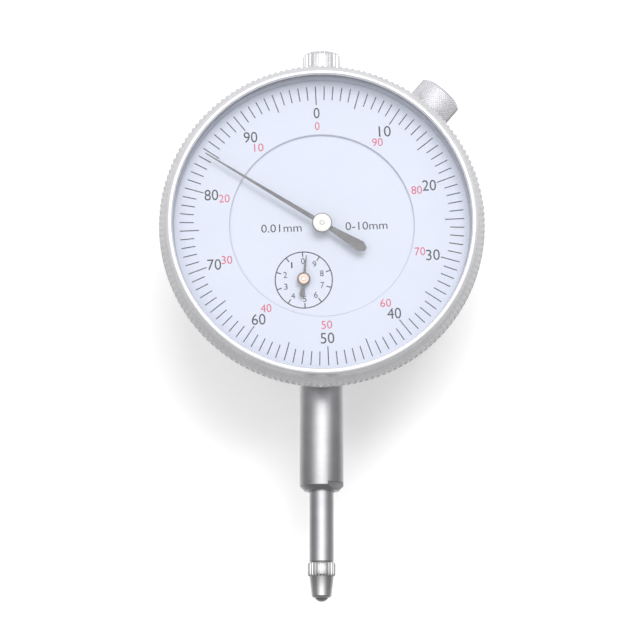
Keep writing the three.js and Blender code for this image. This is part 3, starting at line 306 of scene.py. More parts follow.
table_links.new(unseen.outputs["BSDF"], one_sided.inputs[2])
table_links.new(one_sided.outputs["Shader"], table_nodes["Material Output"].inputs["Surface"])
floor.data.materials.append(table_paint)
print("finishes:", len(bpy.data.materials))

# %% [markdown]
# ### The glass
# A flat glass is nearly invisible: it lets the light through and adds a faint gloss. A mostly clear surface keeps
# the dial bright, where true refraction would darken and speckle it.

# %% Make the glass
GLASS_PRESENCE = 0.05
glass, glass_shader, glass_place = new_finish("watch_glass")
glass_haze = add_noise(glass, glass_place, (90, 90, 90))
glass.node_tree.links.new(ramp_between(glass, glass_haze.outputs["Fac"], (0.9, 0.93, 0.96), (1, 1, 1)),
                          glass_shader.inputs["Base Color"])
glass.node_tree.links.new(range_between(glass, glass_haze.outputs["Fac"], 0.03, 0.06),
                          glass_shader.inputs["Roughness"])
glass_shader.inputs["Alpha"].default_value = GLASS_PRESENCE
glass_shader.inputs["IOR"].default_value = 1.5
print("glass alpha:", GLASS_PRESENCE)

# %% [markdown]
# ## Turning a piece
# Most of an indicator comes off a lathe. A turned piece starts as a circle, and each step of its outline is an
# extrusion of that ring, moved along the axis and scaled to its new radius. Extruding rings keeps clean loops,
# which the knurls need later, and it is how the shape grows on the lathe as well.

# %% Helpers for turned pieces
SMOOTH_ANGLE = math.radians(32)


def fresh_start():
    """Leaves edit mode and deselects everything, so that an operator acts only on what comes next."""
    if bpy.context.object and bpy.context.object.mode != "OBJECT":
        bpy.ops.object.mode_set(mode="OBJECT")
    bpy.ops.object.select_all(action="DESELECT")


def only(piece):
    """Selects one object and makes it the active one."""
    fresh_start()
    piece.select_set(True)
    bpy.context.view_layer.objects.active = piece


def turn_rings(name, outline, sides, hollow=False):
    """Turns (radius, height) pairs about Z. A hollow outline closes on itself, a solid one has end caps."""
    fresh_start()
    (radius, height), rest = outline[0], outline[1:]
    bpy.ops.mesh.primitive_circle_add(vertices=sides, radius=radius, location=(0, 0, height),
                                      fill_type="NOTHING" if hollow else "NGON")
    bpy.ops.object.transform_apply(location=True, rotation=True, scale=True)
    piece = bpy.context.object
    piece.name = name
    bpy.ops.object.mode_set(mode="EDIT")
    bpy.ops.mesh.select_all(action="SELECT")
    for next_radius, next_height in rest:
        bpy.ops.mesh.extrude_region_move(TRANSFORM_OT_translate={"value": (0, 0, next_height - height)})
        grow = next_radius / radius
        bpy.ops.transform.resize(value=(grow, grow, 1), center_override=(0, 0, next_height))
        radius, height = next_radius, next_height
    if hollow:
        bpy.ops.mesh.select_all(action="DESELECT")
        bpy.ops.mesh.select_mode(type="EDGE")
        bpy.ops.mesh.select_non_manifold()
        bpy.ops.mesh.bridge_edge_loops()
        bpy.ops.mesh.select_mode(type="VERT")
    bpy.ops.mesh.select_all(action="SELECT")
    bpy.ops.mesh.normals_make_consistent(inside=False)
    bpy.ops.object.mode_set(mode="OBJECT")
    return piece


def settle(piece, place=(0, 0, 0), turn=(0, 0, 0), smooth=True):
    """Puts a piece at its place and writes that place into its mesh."""
    only(piece)
    piece.location = place
    piece.rotation_euler = turn
    bpy.ops.object.transform_apply(location=True, rotation=True, scale=True)
    if smooth:
        bpy.ops.object.shade_smooth_by_angle(angle=SMOOTH_ANGLE)
    return piece


def soften(piece, width, segments=2, angle=math.radians(30)):
    """Rounds the sharp edges of a piece with a bevel, and applies it."""
    only(piece)
    bevel = piece.modifiers.new("edge_round", "BEVEL")
    bevel.width = width
    bevel.segments = segments
    bevel.limit_method = "ANGLE"
    bevel.angle_limit = angle
    bevel.harden_normals = False
    bpy.ops.object.modifier_apply(modifier=bevel.name)
    return piece


def carve(piece, tool, operation="DIFFERENCE"):
    """Cuts a piece with a tool, or joins the two, and removes the tool."""
    only(piece)
    boolean = piece.modifiers.new("cut", "BOOLEAN")
    boolean.operation = operation
    boolean.object = tool
    boolean.solver = "EXACT"
    bpy.ops.object.modifier_apply(modifier=boolean.name)
    bpy.data.objects.remove(tool)
    return piece


def scale_picked(piece, chosen, factor):
    """Scales the vertices that a test chooses towards or away from the Z axis."""
    only(piece)
    bpy.ops.object.mode_set(mode="EDIT")
    bpy.ops.mesh.select_mode(type="VERT")
    bpy.ops.mesh.select_all(action="DESELECT")
    bpy.ops.object.mode_set(mode="OBJECT")
    for vertex in piece.data.vertices:
        vertex.select = chosen(vertex.co)
    bpy.ops.object.mode_set(mode="EDIT")
    bpy.ops.transform.resize(value=(factor, factor, 1), center_override=(0, 0, 0))
    bpy.ops.object.mode_set(mode="OBJECT")


def finish_piece(piece, material, body, slot, *nodes):
    """Gives a piece its finish and its body, and hides the nodes that it stands for. The slot is not used."""
    piece.data.materials.clear()
    piece.data.materials.append(material)
    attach(piece, body)
    if nodes:
        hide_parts(*nodes)
    print(piece.name, len(piece.data.polygons), "faces")
    return piece


def radius_of(node):
    """Half the width of a node's box, which is the radius of a turned one."""
    low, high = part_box(node)
    return (high[0] - low[0]) / 2


FACE_FORWARD = (-math.pi / 2, 0, 0)  # what was turned about Z now lies along Y, heights as depths

# %% [markdown]
# ## The bezel
# The bezel is a turned ring with a rounded front rim, a smooth neck that widens slightly, and a knurled grip at
# the back. The grip's ribs are straight. The ring is turned with four points for each rib, and then every second
# pair of points on the grip is pulled in, which leaves ribs that run out on the bevel as a real knurl does.

# %% Turn and knurl the bezel
BEZEL_RIBS = 168
RIB_DEPTH = 0.26 * MM
PLAIN_EDGE = 0.55 * MM
POINTS_PER_RIB = 4
GRIP_LENGTH = 2.4 * MM
GRIP_BEVEL = 0.6 * MM
LIP = 0.7 * MM
OPENING = 27.1 * MM
GLASS_BORE = 27.45 * MM
SKIRT = 1.2 * MM

bezel_low, bezel_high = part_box("bezel")
bezel_radius = radius_of("bezel")
bezel_front = bezel_low[1]
bezel_back = bezel_high[1] - SKIRT
spigot_bore = 26.75 * MM
dial_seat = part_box("dial_ring")[1][1] + 0.05 * MM
grip_front = bezel_back - GRIP_LENGTH
neck_back = grip_front - GRIP_BEVEL

bezel_outline = [
    (OPENING, bezel_front + LIP),
    (OPENING, bezel_front + 0.26 * MM),
    (OPENING + 0.06 * MM, bezel_front + 0.14 * MM),
    (OPENING + 0.24 * MM, bezel_front),
    (OPENING + 0.40 * MM, bezel_front),
    (OPENING + 0.48 * MM, bezel_front + 0.12 * MM),
    (OPENING + 0.60 * MM, bezel_front + 0.12 * MM),
    (OPENING + 0.68 * MM, bezel_front + 0.03 * MM),
    (OPENING + 0.86 * MM, bezel_front + 0.10 * MM),
    (OPENING + 1.00 * MM, bezel_front + 0.22 * MM),
    (OPENING + 1.08 * MM, bezel_front + 0.42 * MM),
    (28.24 * MM, bezel_front + 0.9 * MM),
    (28.6 * MM, neck_back - 0.06 * MM),
    (28.7 * MM, neck_back),
    (bezel_radius - 0.12 * MM, grip_front - 0.06 * MM),
    (bezel_radius, grip_front + 0.1 * MM),
    (bezel_radius, bezel_back - PLAIN_EDGE - 0.1 * MM),
    (bezel_radius, bezel_back - PLAIN_EDGE),
    (bezel_radius, bezel_back - 0.25 * MM),
    (bezel_radius - 0.18 * MM, bezel_back - 0.06 * MM),
    (bezel_radius - 0.5 * MM, bezel_back),
    (27.8 * MM, bezel_back),
    (27.8 * MM, bezel_high[1]),
    (27.35 * MM, bezel_high[1]),
    (27.35 * MM, bezel_back),
    (spigot_bore, bezel_back),
    (spigot_bore, dial_seat),
    (GLASS_BORE, dial_seat),
    (GLASS_BORE, bezel_front + LIP),
]
bezel = turn_rings("bezel_ring", bezel_outline, BEZEL_RIBS * POINTS_PER_RIB, hollow=True)


def between_ribs(point, ribs):
    """True at the two points of the ring between one rib and the next."""
    share = math.atan2(point.y, point.x) / (2 * math.pi) * ribs * POINTS_PER_RIB
    return round(share) % POINTS_PER_RIB >= 2


def in_rib_gap(point):
    """True between the ribs of the grip. The grip's back edge stays plain."""
    reach = math.hypot(point.x, point.y)
    if reach < bezel_radius - 0.15 * MM or point.z > bezel_back - PLAIN_EDGE - 0.05 * MM:
        return False
    return between_ribs(point, BEZEL_RIBS)


scale_picked(bezel, in_rib_gap, (bezel_radius - RIB_DEPTH) / bezel_radius)
settle(bezel, DIAL_CENTRE, FACE_FORWARD)
finish_piece(bezel, plated, "bezel", "plated_knurl", "bezel")

# %% [markdown]
# ## The glass and the ring behind it
# The glass is a plain disc with a ground edge, so a short bevel at each side is all that it needs. The ring
# behind it is a satin bluish mid grey, painted shade that stands for the shadow in the gap above the dial.

# %% Turn the glass and its ring
GLASS_SIDES = 192
glass_low, glass_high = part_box("crystal")
glass_radius = radius_of("crystal")
ground = 0.12 * MM
crystal = turn_rings("glass_disc", [
    (glass_radius - ground, glass_low[1]), (glass_radius, glass_low[1] + ground),
    (glass_radius, glass_high[1] - ground), (glass_radius - ground, glass_high[1]),
], GLASS_SIDES)
settle(crystal, DIAL_CENTRE, FACE_FORWARD)
finish_piece(crystal, glass, "bezel", "clear_glass", "crystal")

ring_low, ring_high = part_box("spacer_ring")
ring_radius = radius_of("spacer_ring")
RING_WALL = 0.45 * MM
spacer = turn_rings("glass_support_ring", [
    (ring_radius - RING_WALL, ring_low[1] + ground), (ring_radius - RING_WALL + ground, ring_low[1]),
    (ring_radius, ring_low[1]), (ring_radius, ring_high[1]), (ring_radius - RING_WALL, ring_high[1]),
], GLASS_SIDES, hollow=True)
settle(spacer, DIAL_CENTRE, FACE_FORWARD)
finish_piece(spacer, dark_ring, "bezel", "dark_ring", "spacer_ring")

# %% [markdown]
# ## The dial
# The dial is in two pieces. The outer ring carries the scale and turns with the bezel. The middle lies a little
# deeper and stays still, and a thin grey printed line of painted shade marks the step at its edge.
# Both are punched sheet, with an edge barely rounded.

# %% Turn the two parts of the dial
DIAL_SIDES = 256
edge = 0.05 * MM


def dial_disc(name, outer, bore, front, rear):
    """A punched ring of sheet metal with its front edges broken."""
    return turn_rings(name, [
        (bore, rear), (bore, front + edge), (bore + edge, front), (outer - edge, front),
        (outer, front + edge), (outer, rear),
    ], DIAL_SIDES, hollow=True)


ring_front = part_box("dial_ring")[0][1]
ring_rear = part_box("dial_ring")[1][1]
RING_BORE = 16.8 * MM
outer_dial = settle(dial_disc("outer_dial_ring", radius_of("dial_ring"), RING_BORE, ring_front, ring_rear),
                    DIAL_CENTRE, FACE_FORWARD)
finish_piece(outer_dial, dial_paint, "bezel", "dial_face", "dial_ring")

INNER_THICKNESS = 0.4 * MM
HUB_HOLE = 0.75 * MM
inner_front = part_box("inner_dial")[0][1]
inner_disc = dial_disc("inner_dial_disc", radius_of("inner_dial"), HUB_HOLE, inner_front,
                       inner_front + INNER_THICKNESS)
inner_dial = settle(inner_disc, DIAL_CENTRE, FACE_FORWARD)

# %% Drill the middle and add its two feet
FOOT_CIRCLE = 14 * MM
FOOT_RADIUS = 0.5 * MM
inner_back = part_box("inner_dial")[1][1]


def rod_along_y(name, radius, front, rear, centre, sides=24):
    """A short round bar along Y with its front and rear edges broken."""
    chip = radius * 0.1
    outline = [(radius - chip, front), (radius, front + chip), (radius, rear - chip), (radius - chip, rear)]
    bar = turn_rings(name, outline, sides)
    return settle(bar, (centre[0], 0, centre[2]), FACE_FORWARD)


carve(inner_dial, rod_along_y("drill", HUB_HOLE, inner_front - MM, inner_front + MM, COUNTER_CENTRE))
for degrees in (30, 210):
    reach = Vector((math.cos(math.radians(degrees)), 0, math.sin(math.radians(degrees)))) * FOOT_CIRCLE
    foot = rod_along_y("foot", FOOT_RADIUS, inner_front + INNER_THICKNESS / 2, inner_back, DIAL_CENTRE + reach)
    carve(inner_dial, foot, "UNION")
settle(inner_dial)
finish_piece(inner_dial, dial_paint, "case", "dial_face", "inner_dial")

# %% [markdown]
# ## Printing the scale
# Print is a thin film of ink. Each line is one small bar, modelled once and copied round the dial, and the
# numbers are text made into a mesh a hundredth of a millimetre thick. The whole scale is set a little to the
# left of upright, as the bezel was left by its last user.

# %% Helpers for print
INK = 0.012 * MM
SCALE_TURN = -2.7


def bar(name, across, inner, outer, face, centre, degrees):
    """One printed line: a thin bar from an inner to an outer radius, at an angle clockwise from the top."""
    fresh_start()
    place = (0, face - INK / 2, (inner + outer) / 2)
    bpy.ops.mesh.primitive_cube_add(size=1, location=place)
    line = bpy.context.object
    line.name = name
    line.scale = (across, INK, outer - inner)
    bpy.ops.object.transform_apply(location=True, rotation=True, scale=True)
    line.rotation_euler = (0, math.radians(degrees), 0)
    line.location = (centre.x, 0, centre.z)
    bpy.ops.object.transform_apply(location=True, rotation=True, scale=True)
    return line


def ring_line(name, radius, across, face, centre, sides=128):
    """A printed circle."""
    line = turn_rings(name, [(radius - across / 2, face), (radius - across / 2, face - INK),
                             (radius + across / 2, face - INK), (radius + across / 2, face)], sides, hollow=True)
    return settle(line, (centre.x, 0, centre.z), FACE_FORWARD, smooth=False)


def lettering(text, width, height, reach, degrees, face, centre, tilt=SCALE_TURN, shift=(0, 0)):
    """Upright printed characters of a given size, centred at a radius and an angle clockwise from the top."""
    fresh_start()
    bpy.ops.object.text_add()
    label = bpy.context.object
    label.data.body = text
    label.data.size = height
    label.data.align_x = "CENTER"
    label.data.align_y = "CENTER"
    label.data.resolution_u = 4
    label.data.extrude = INK / 2
    bpy.ops.object.convert(target="MESH")
    label = bpy.context.object
    low = Vector(map(min, *(v.co for v in label.data.vertices)))
    high = Vector(map(max, *(v.co for v in label.data.vertices)))
    for vertex in label.data.vertices:
        vertex.co -= Vector(((low.x + high.x) / 2, (low.y + high.y) / 2, 0))
    label.scale = (width / (high.x - low.x), height / (high.y - low.y), 1)
    bpy.ops.object.transform_apply(location=True, rotation=True, scale=True)
    label.rotation_euler = (math.pi / 2, math.radians(tilt), 0)
    angle = math.radians(degrees)
    label.location = (centre.x + reach * math.sin(angle) + shift[0], face - INK / 2,
                      centre.z + reach * math.cos(angle) + shift[1])
    bpy.ops.object.transform_apply(location=True, rotation=True, scale=True)
    return label


def together(name, parts):
    """Joins printed parts into one piece."""
    fresh_start()
    for part in parts:
        part.select_set(True)
    bpy.context.view_layer.objects.active = parts[0]
    bpy.ops.object.join()
    joined = bpy.context.object
    joined.name = name
    return joined


# %% [markdown]
# ### The hundred divisions
# A long line stands at every fifth division. Black numbers count clockwise and red ones count the other way, for
# readings to either side of zero.

# %% Print the scale
DIVISIONS = 100
TICK_OUTER = 25.9 * MM
TICK_INNER = 23.35 * MM
LONG_TICK_INNER = 22.4 * MM
TICK_WIDTH = 0.185 * MM
NUMBER_RADIUS = 20.9 * MM
NUMBER_HEIGHT = 2.0 * MM
NUMBER_WIDTH = 2.5 * MM
RED_RADIUS = 18.45 * MM
RED_HEIGHT = 1.5 * MM
RED_WIDTH = 1.95 * MM
WIDTH_SHARES = {0: 0.44, 1: 0.88}

ticks = []
for i in range(DIVISIONS):
    inner = LONG_TICK_INNER if i % 5 == 0 else TICK_INNER
    angle = i * 360 / DIVISIONS + SCALE_TURN
    ticks.append(bar("tick", TICK_WIDTH, inner, TICK_OUTER, ring_front, DIAL_CENTRE, angle))
numbers = [lettering(str(i * 10), NUMBER_WIDTH * WIDTH_SHARES.get(i, 1), NUMBER_HEIGHT, NUMBER_RADIUS,
                     i * 36 + SCALE_TURN, ring_front, DIAL_CENTRE) for i in range(10)]
scale_print = together("scale_print", ticks + numbers)
finish_piece(scale_print, black_ink, "bezel", "dial_face")

red_numbers = [lettering(str(i * 10), RED_WIDTH * WIDTH_SHARES.get(i, 1), RED_HEIGHT, RED_RADIUS,
                         SCALE_TURN - i * 36, ring_front, DIAL_CENTRE) for i in range(10)]
red_print = together("red_scale_print", red_numbers)
finish_piece(red_print, red_ink, "bezel", "dial_face")

# %% [markdown]
# ### The counter and the legends
# The small scale counts whole turns, anticlockwise, from 0 to 9. The legends beside the hub give the value of one
# division and the range.

# %% Print the middle of the dial
COUNTER_RADIUS = 5.18 * MM
COUNTER_LINE = 0.2 * MM
COUNTER_TICK = 0.9 * MM
COUNTER_NUMBER_RADIUS = 3.5 * MM
COUNTER_NUMBER_HEIGHT = 1.12 * MM
LEGEND_HEIGHT = 1.5 * MM
LEGEND_WIDTH = 7.36 * MM
LEGEND_TILT = -2.0
STEP_SHADE_WIDTH = 0.07 * MM

counter_print = [ring_line("counter_circle", COUNTER_RADIUS, COUNTER_LINE, inner_front, COUNTER_CENTRE)]
for i in range(10):
    angle = SCALE_TURN - i * 36
    counter_print.append(bar("counter_tick", COUNTER_LINE, COUNTER_RADIUS - COUNTER_TICK, COUNTER_RADIUS,
                             inner_front, COUNTER_CENTRE, angle))
    width = COUNTER_NUMBER_HEIGHT * (0.25 if i == 1 else 0.6)
    counter_print.append(lettering(str(i), width, COUNTER_NUMBER_HEIGHT, COUNTER_NUMBER_RADIUS, angle,
                                   inner_front, COUNTER_CENTRE))
counter_print.append(lettering("0.01mm", LEGEND_WIDTH, LEGEND_HEIGHT, 0, 0, inner_front, DIAL_CENTRE, LEGEND_TILT,
                               shift=(-7.38 * MM, -0.5 * MM)))
counter_print.append(lettering("0-10mm", LEGEND_WIDTH * 1.04, LEGEND_HEIGHT, 0, 0, inner_front, DIAL_CENTRE,
                               LEGEND_TILT, shift=(8.1 * MM, 0)))
inner_print = together("inner_print", counter_print)
finish_piece(inner_print, black_ink, "case", "dial_face")
# painted shade: a thin grey ring printed at the outer ring's bore stands for the shadow of the step down to the
# middle
step_shade_line = ring_line("step_shade_line", RING_BORE + STEP_SHADE_WIDTH, STEP_SHADE_WIDTH, ring_front, DIAL_CENTRE)
finish_piece(step_shade_line, step_shade_ink, "bezel", "dial_face")

# %% [markdown]
# ## The hands
# Each hand is punched from thin sheet: a long taper, a round boss for the hub, and a club-shaped tail cut to a
# blunt point. The outline is one polygon, built by extruding a row of points sideways, and a narrow bevel gives
# the edge that catches the light.

# %% Cut the hands
def hand_blade(name, node, centre, rest, length, tail, root, tip, club, boss):
    """A hand of one outline: (half width, distance) pairs from the tail's end to the tip."""
    low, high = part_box(node)
    front, rear = low[1], high[1]
    club_start = tail - club * 1.1
    steps = [(club * 0.35, -tail), (club, -club_start), (root, -boss), (root, boss), (tip, length)]
    fresh_start()
    half, along = steps[0]
    bpy.ops.mesh.primitive_plane_add(size=1, location=(0, 0, 0))
    blade = bpy.context.object
    blade.name = name
    bpy.ops.object.mode_set(mode="EDIT")
    bpy.ops.mesh.select_all(action="SELECT")
    bpy.ops.transform.resize(value=(2 * half, 1e-6, 1), center_override=(0, 0, 0))
    bpy.ops.transform.translate(value=(0, along, 0))
    bpy.ops.mesh.select_all(action="DESELECT")
    bpy.ops.object.mode_set(mode="OBJECT")
    top = max(v.co.y for v in blade.data.vertices)
    for vertex in blade.data.vertices:
        vertex.select = vertex.co.y > top - 1e-9
    bpy.ops.object.mode_set(mode="EDIT")
    bpy.ops.mesh.select_mode(type="EDGE")
    for next_half, next_along in steps[1:]:
        bpy.ops.mesh.extrude_region_move(TRANSFORM_OT_translate={"value": (0, next_along - along, 0)})
        bpy.ops.transform.resize(value=(next_half / half, 1, 1), center_override=(0, next_along, 0))
        half, along = next_half, next_along
    bpy.ops.mesh.select_mode(type="VERT")
    bpy.ops.mesh.select_all(action="SELECT")
    bpy.ops.mesh.remove_doubles(threshold=2e-6)
    bpy.ops.mesh.extrude_region_move(TRANSFORM_OT_translate={"value": (0, 0, rear - front)})
    bpy.ops.mesh.select_all(action="SELECT")
    bpy.ops.mesh.normals_make_consistent(inside=False)
    bpy.ops.object.mode_set(mode="OBJECT")
    blade.rotation_euler = (math.pi / 2, 0, 0)
    blade.location = (0, rear, 0)
    bpy.ops.object.transform_apply(location=True, rotation=True, scale=True)
    disc = turn_rings("boss", [(boss, front), (boss, rear)], 64)
    settle(disc, (0, 0, 0), FACE_FORWARD)
    carve(blade, disc, "UNION")
    soften(blade, (rear - front) * 0.25, 1)
    return settle(blade, (centre.x, 0, centre.z), (0, math.radians(rest), 0))


MAIN_REST = -58.6
COUNTER_REST = 5.9
main_hand = hand_blade("main_needle", "main_hand", DIAL_CENTRE, MAIN_REST, 24.9 * MM, 9.3 * MM, 0.42 * MM, 0.1 * MM,
                       1.0 * MM, 1.5 * MM)
finish_piece(main_hand, hand_steel, "centre_train", "hand_steel", "main_hand")
counter_hand = hand_blade("counter_needle", "counter_hand", COUNTER_CENTRE, COUNTER_REST, 4.4 * MM, 3.4 * MM,
                          0.24 * MM, 0.08 * MM, 0.5 * MM, 0.95 * MM)
finish_piece(counter_hand, hand_steel, "counter_train", "hand_steel", "counter_hand")

# %% [markdown]
# ### The hubs
# The main hub is a small ivory disc on a core, with the steel end of the arbor at its middle. The small hub is
# copper coloured.

# %% Turn the hubs
HUB_SIDES = 96
HUB_SHADE_RIM = 0.15 * MM


def hub(name, node, blade, centre, core, material, body, slot):
    """A disc over the blade and a core through it, in a dark steel rim that doubles as painted shade round the hub.
    """
    low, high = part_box(node)
    radius = radius_of(node)
    inner = radius - HUB_SHADE_RIM
    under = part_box(blade)[0][1] - 0.05 * MM
    seat = 0.45 * MM
    chip = 0.12 * MM
    piece = turn_rings(name, [
        (seat, low[1]), (inner - chip * 2, low[1]), (inner - chip * 0.6, low[1] + chip * 0.4),
        (inner, low[1] + chip), (inner, under), (core, under), (core, high[1]), (seat, high[1]),
    ], HUB_SIDES, hollow=True)
    settle(piece, (centre.x, 0, centre.z), FACE_FORWARD)
    # the rim is dark steel, and it also stands as painted shade for the shadow line round the hub
    rim = turn_rings(name + "_rim", [(inner, low[1] + chip), (radius - chip / 2, low[1] + chip),
                                     (radius, low[1] + chip * 1.5), (radius, under), (inner, under)],
                     HUB_SIDES, hollow=True)
    settle(rim, (centre.x, 0, centre.z), FACE_FORWARD)
    finish_piece(rim, hand_steel, body, slot)
    return finish_piece(piece, material, body, slot, node)


hub("main_hub_disc", "main_hub", "main_hand", DIAL_CENTRE, 0.9 * MM, ivory, "centre_train", "ivory_hub")
hub("counter_hub_disc", "counter_hub", "counter_hand", COUNTER_CENTRE, 0.62 * MM, copper, "counter_train",
    "copper_hub")

# %% [markdown]
# ## The stem and the spindle
# Both are ground rods. The stem ends in a chamfer with a pair of small spanner flats. The spindle passes through it
# and carries the rack on its left flank, which a row of copied cutters makes.

# %% Turn the stem and cut its flats
STEM_SIDES = 128
stem_low, stem_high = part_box("stem")
stem_radius = radius_of("stem")
STEM_BORE = 3.05 * MM
STEM_CHAMFER = 0.9 * MM
LIP_BORE = 2.4 * MM
LIP_LENGTH = 0.25 * MM
FLAT_TURN = math.radians(52)
FLAT_HEIGHT = 1.5 * MM
FLAT_DEPTH = 0.75 * MM
stem = turn_rings("clamping_stem", [
    (LIP_BORE, stem_low[2]), (stem_radius - STEM_CHAMFER, stem_low[2]),
    (stem_radius, stem_low[2] + STEM_CHAMFER), (stem_radius, stem_high[2]), (STEM_BORE, stem_high[2]),
    (STEM_BORE, stem_low[2] + LIP_LENGTH), (LIP_BORE, stem_low[2] + LIP_LENGTH),
], STEM_SIDES, hollow=True)
for side in (0, math.pi):
    fresh_start()
    turn = FLAT_TURN + side
    out = Vector((math.sin(turn), -math.cos(turn), 0))
    bpy.ops.mesh.primitive_cube_add(size=1)
    flat = bpy.context.object
    flat.scale = (3 * stem_radius, 2 * MM, 2 * FLAT_HEIGHT)
    flat.rotation_euler = (0, 0, turn)
    flat.location = out * (stem_radius - FLAT_DEPTH + MM) + Vector((0, 0, stem_low[2]))
    carve(stem, flat)
soften(stem, 0.06 * MM)
settle(stem)
finish_piece(stem, stem_steel, "case", "satin_steel", "stem")

# %% Turn the spindle and cut its rack
SPINDLE_SIDES = 96
RACK_PITCH = 0.625 * MM
RACK_TEETH = 23
RACK_LINE = 1.71 * MM
spindle_low, spindle_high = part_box("spindle")
spindle_radius = radius_of("spindle")
cap_low, cap_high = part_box("lifting_cap")
SHANK_RADIUS = 1.6 * MM
THREAD_BORE = 1.3 * MM
THREAD_DEPTH = 5.5 * MM
spindle = turn_rings("ground_spindle", [
    (THREAD_BORE, spindle_low[2] + THREAD_DEPTH), (THREAD_BORE, spindle_low[2]),
    (spindle_radius - 0.2 * MM, spindle_low[2]), (spindle_radius, spindle_low[2] + 0.2 * MM),
    (spindle_radius, cap_low[2] - 0.06 * MM), (SHANK_RADIUS, cap_low[2] - 0.06 * MM),
    (SHANK_RADIUS, spindle_high[2]),
], SPINDLE_SIDES)
rack_top = COUNTER_CENTRE.z + 3 * RACK_PITCH
GAP_SHARE = 0.48
GAP_FLOOR = 0.19 * MM
GAP_FLARE = 2.0
CUTTER_WIDTH = 6 * MM
cutters = []
for i in range(RACK_TEETH + 1):
    fresh_start()
    bpy.ops.mesh.primitive_cube_add(size=1)
    cutter = bpy.context.object
    cutter.scale = (MM, CUTTER_WIDTH, RACK_PITCH * GAP_SHARE)
    cutter.location = (-RACK_LINE + GAP_FLOOR - MM / 2, 0, rack_top - i * RACK_PITCH)
    bpy.ops.object.transform_apply(location=True, rotation=True, scale=True)
    bpy.ops.object.mode_set(mode="EDIT")
    bpy.ops.mesh.select_mode(type="FACE")
    bpy.ops.mesh.select_all(action="DESELECT")
    bpy.ops.object.mode_set(mode="OBJECT")
    for face in cutter.data.polygons:
        face.select = face.normal.x < -0.5
    bpy.ops.object.mode_set(mode="EDIT")
    bpy.ops.transform.resize(value=(1, 1, GAP_FLARE), center_override=(0, 0, rack_top - i * RACK_PITCH))
    bpy.ops.object.mode_set(mode="OBJECT")
    cutters.append(cutter)
for cutter in cutters:
    carve(spindle, cutter)
settle(spindle)
finish_piece(spindle, stem_steel, "spindle", "bright_steel", "spindle")

# %% [markdown]
# ## The contact point
# The point screws into the spindle. Its collar is knurled for the fingers, the body tapers, and a hard ball sits in
# the end.

# %% Turn the point and its ball
POINT_RIBS = 26
POINT_RIB_DEPTH = 0.16 * MM
point_low, point_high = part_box("contact_point")
collar_radius = radius_of("contact_point")
collar_top = spindle_low[2] - 0.05 * MM
COLLAR_LENGTH = 2.5 * MM
THREAD_RADIUS = 1.25 * MM
collar_bottom = collar_top - COLLAR_LENGTH
SEAT_RADIUS = 1.36 * MM
point = turn_rings("screw_in_point", [
    (THREAD_RADIUS - 0.15 * MM, point_high[2]), (THREAD_RADIUS, point_high[2] - 0.15 * MM),
    (THREAD_RADIUS, collar_top),
    (collar_radius - 0.35 * MM, collar_top), (collar_radius - 0.1 * MM, collar_top - 0.1 * MM),
    (collar_radius, collar_top - 0.3 * MM), (collar_radius, collar_bottom + 0.3 * MM),
    (collar_radius - 0.1 * MM, collar_bottom + 0.1 * MM), (2.28 * MM, collar_bottom),
    (2.2 * MM, collar_bottom - 0.15 * MM), (1.82 * MM, point_low[2] + 0.35 * MM),
    (1.6 * MM, point_low[2] + 0.08 * MM),
    (SEAT_RADIUS, point_low[2]), (SEAT_RADIUS - 0.3 * MM, point_low[2] + 0.55 * MM),
], POINT_RIBS * POINTS_PER_RIB)


def in_collar_gap(v):
    """True between the ribs of the collar."""
    return math.hypot(v.x, v.y) > collar_radius - 0.12 * MM and between_ribs(v, POINT_RIBS)


scale_picked(point, in_collar_gap, (collar_radius - POINT_RIB_DEPTH) / collar_radius)
settle(point)
finish_piece(point, point_steel, "spindle", "hardened_steel", "contact_point")

ball_low, ball_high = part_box("contact_ball")
ball_radius = 1.5 * MM
fresh_start()
bpy.ops.mesh.primitive_uv_sphere_add(segments=64, ring_count=32, radius=ball_radius,
                                     location=(0, 0, ball_low[2] + ball_radius))
ball = bpy.context.object
ball.name = "hard_ball"
bpy.ops.object.transform_apply(location=True, rotation=True, scale=True)
flat_top = turn_rings("saw", [(2 * MM, ball_high[2] - 0.35 * MM), (2 * MM, ball_high[2] + MM)], 24)
carve(ball, flat_top)
settle(ball)
finish_piece(ball, ball_steel, "spindle", "bright_steel", "contact_ball")

# %% [markdown]
# ## The lifting cap
# The cap screws on the spindle's top. Its straight knurl is coarser than the bezel's, and the top edge is rounded.

# %% Turn and knurl the cap
CAP_RIBS = 24
CAP_RIB_DEPTH = 0.3 * MM
cap_radius = radius_of("lifting_cap")
cap = turn_rings("knurled_cap", [
    (SHANK_RADIUS + 0.05 * MM, cap_low[2]), (cap_radius - 0.5 * MM, cap_low[2]),
    (cap_radius - 0.08 * MM, cap_low[2] + 0.3 * MM), (cap_radius, cap_low[2] + 0.5 * MM),
    (cap_radius, cap_high[2] - 0.75 * MM),
    (cap_radius - 0.05 * MM, cap_high[2] - 0.6 * MM), (cap_radius - 0.42 * MM, cap_high[2] - 0.22 * MM),
    (cap_radius - 0.9 * MM, cap_high[2] - 0.04 * MM), (cap_radius - 1.6 * MM, cap_high[2]), (0.4 * MM, cap_high[2]),
    (0.4 * MM, cap_high[2] - 1.15 * MM), (SHANK_RADIUS + 0.05 * MM, cap_high[2] - 1.15 * MM),
], CAP_RIBS * POINTS_PER_RIB, hollow=True)


def in_cap_gap(v):
    """True between the ribs of the cap's side."""
    return math.hypot(v.x, v.y) > cap_radius - 0.1 * MM and between_ribs(v, CAP_RIBS)


scale_picked(cap, in_cap_gap, (cap_radius - CAP_RIB_DEPTH) / cap_radius)
settle(cap)
finish_piece(cap, plated_z, "spindle", "plated_knurl", "lifting_cap")

# %% [markdown]
# ## The clamp screw
# The thumb screw that locks the bezel has a diamond knurl: two sets of slanting grooves that leave small
# pyramids. A grid of points does it, with every second point pushed in and the rows staggered, and each square
# split across its low corners.

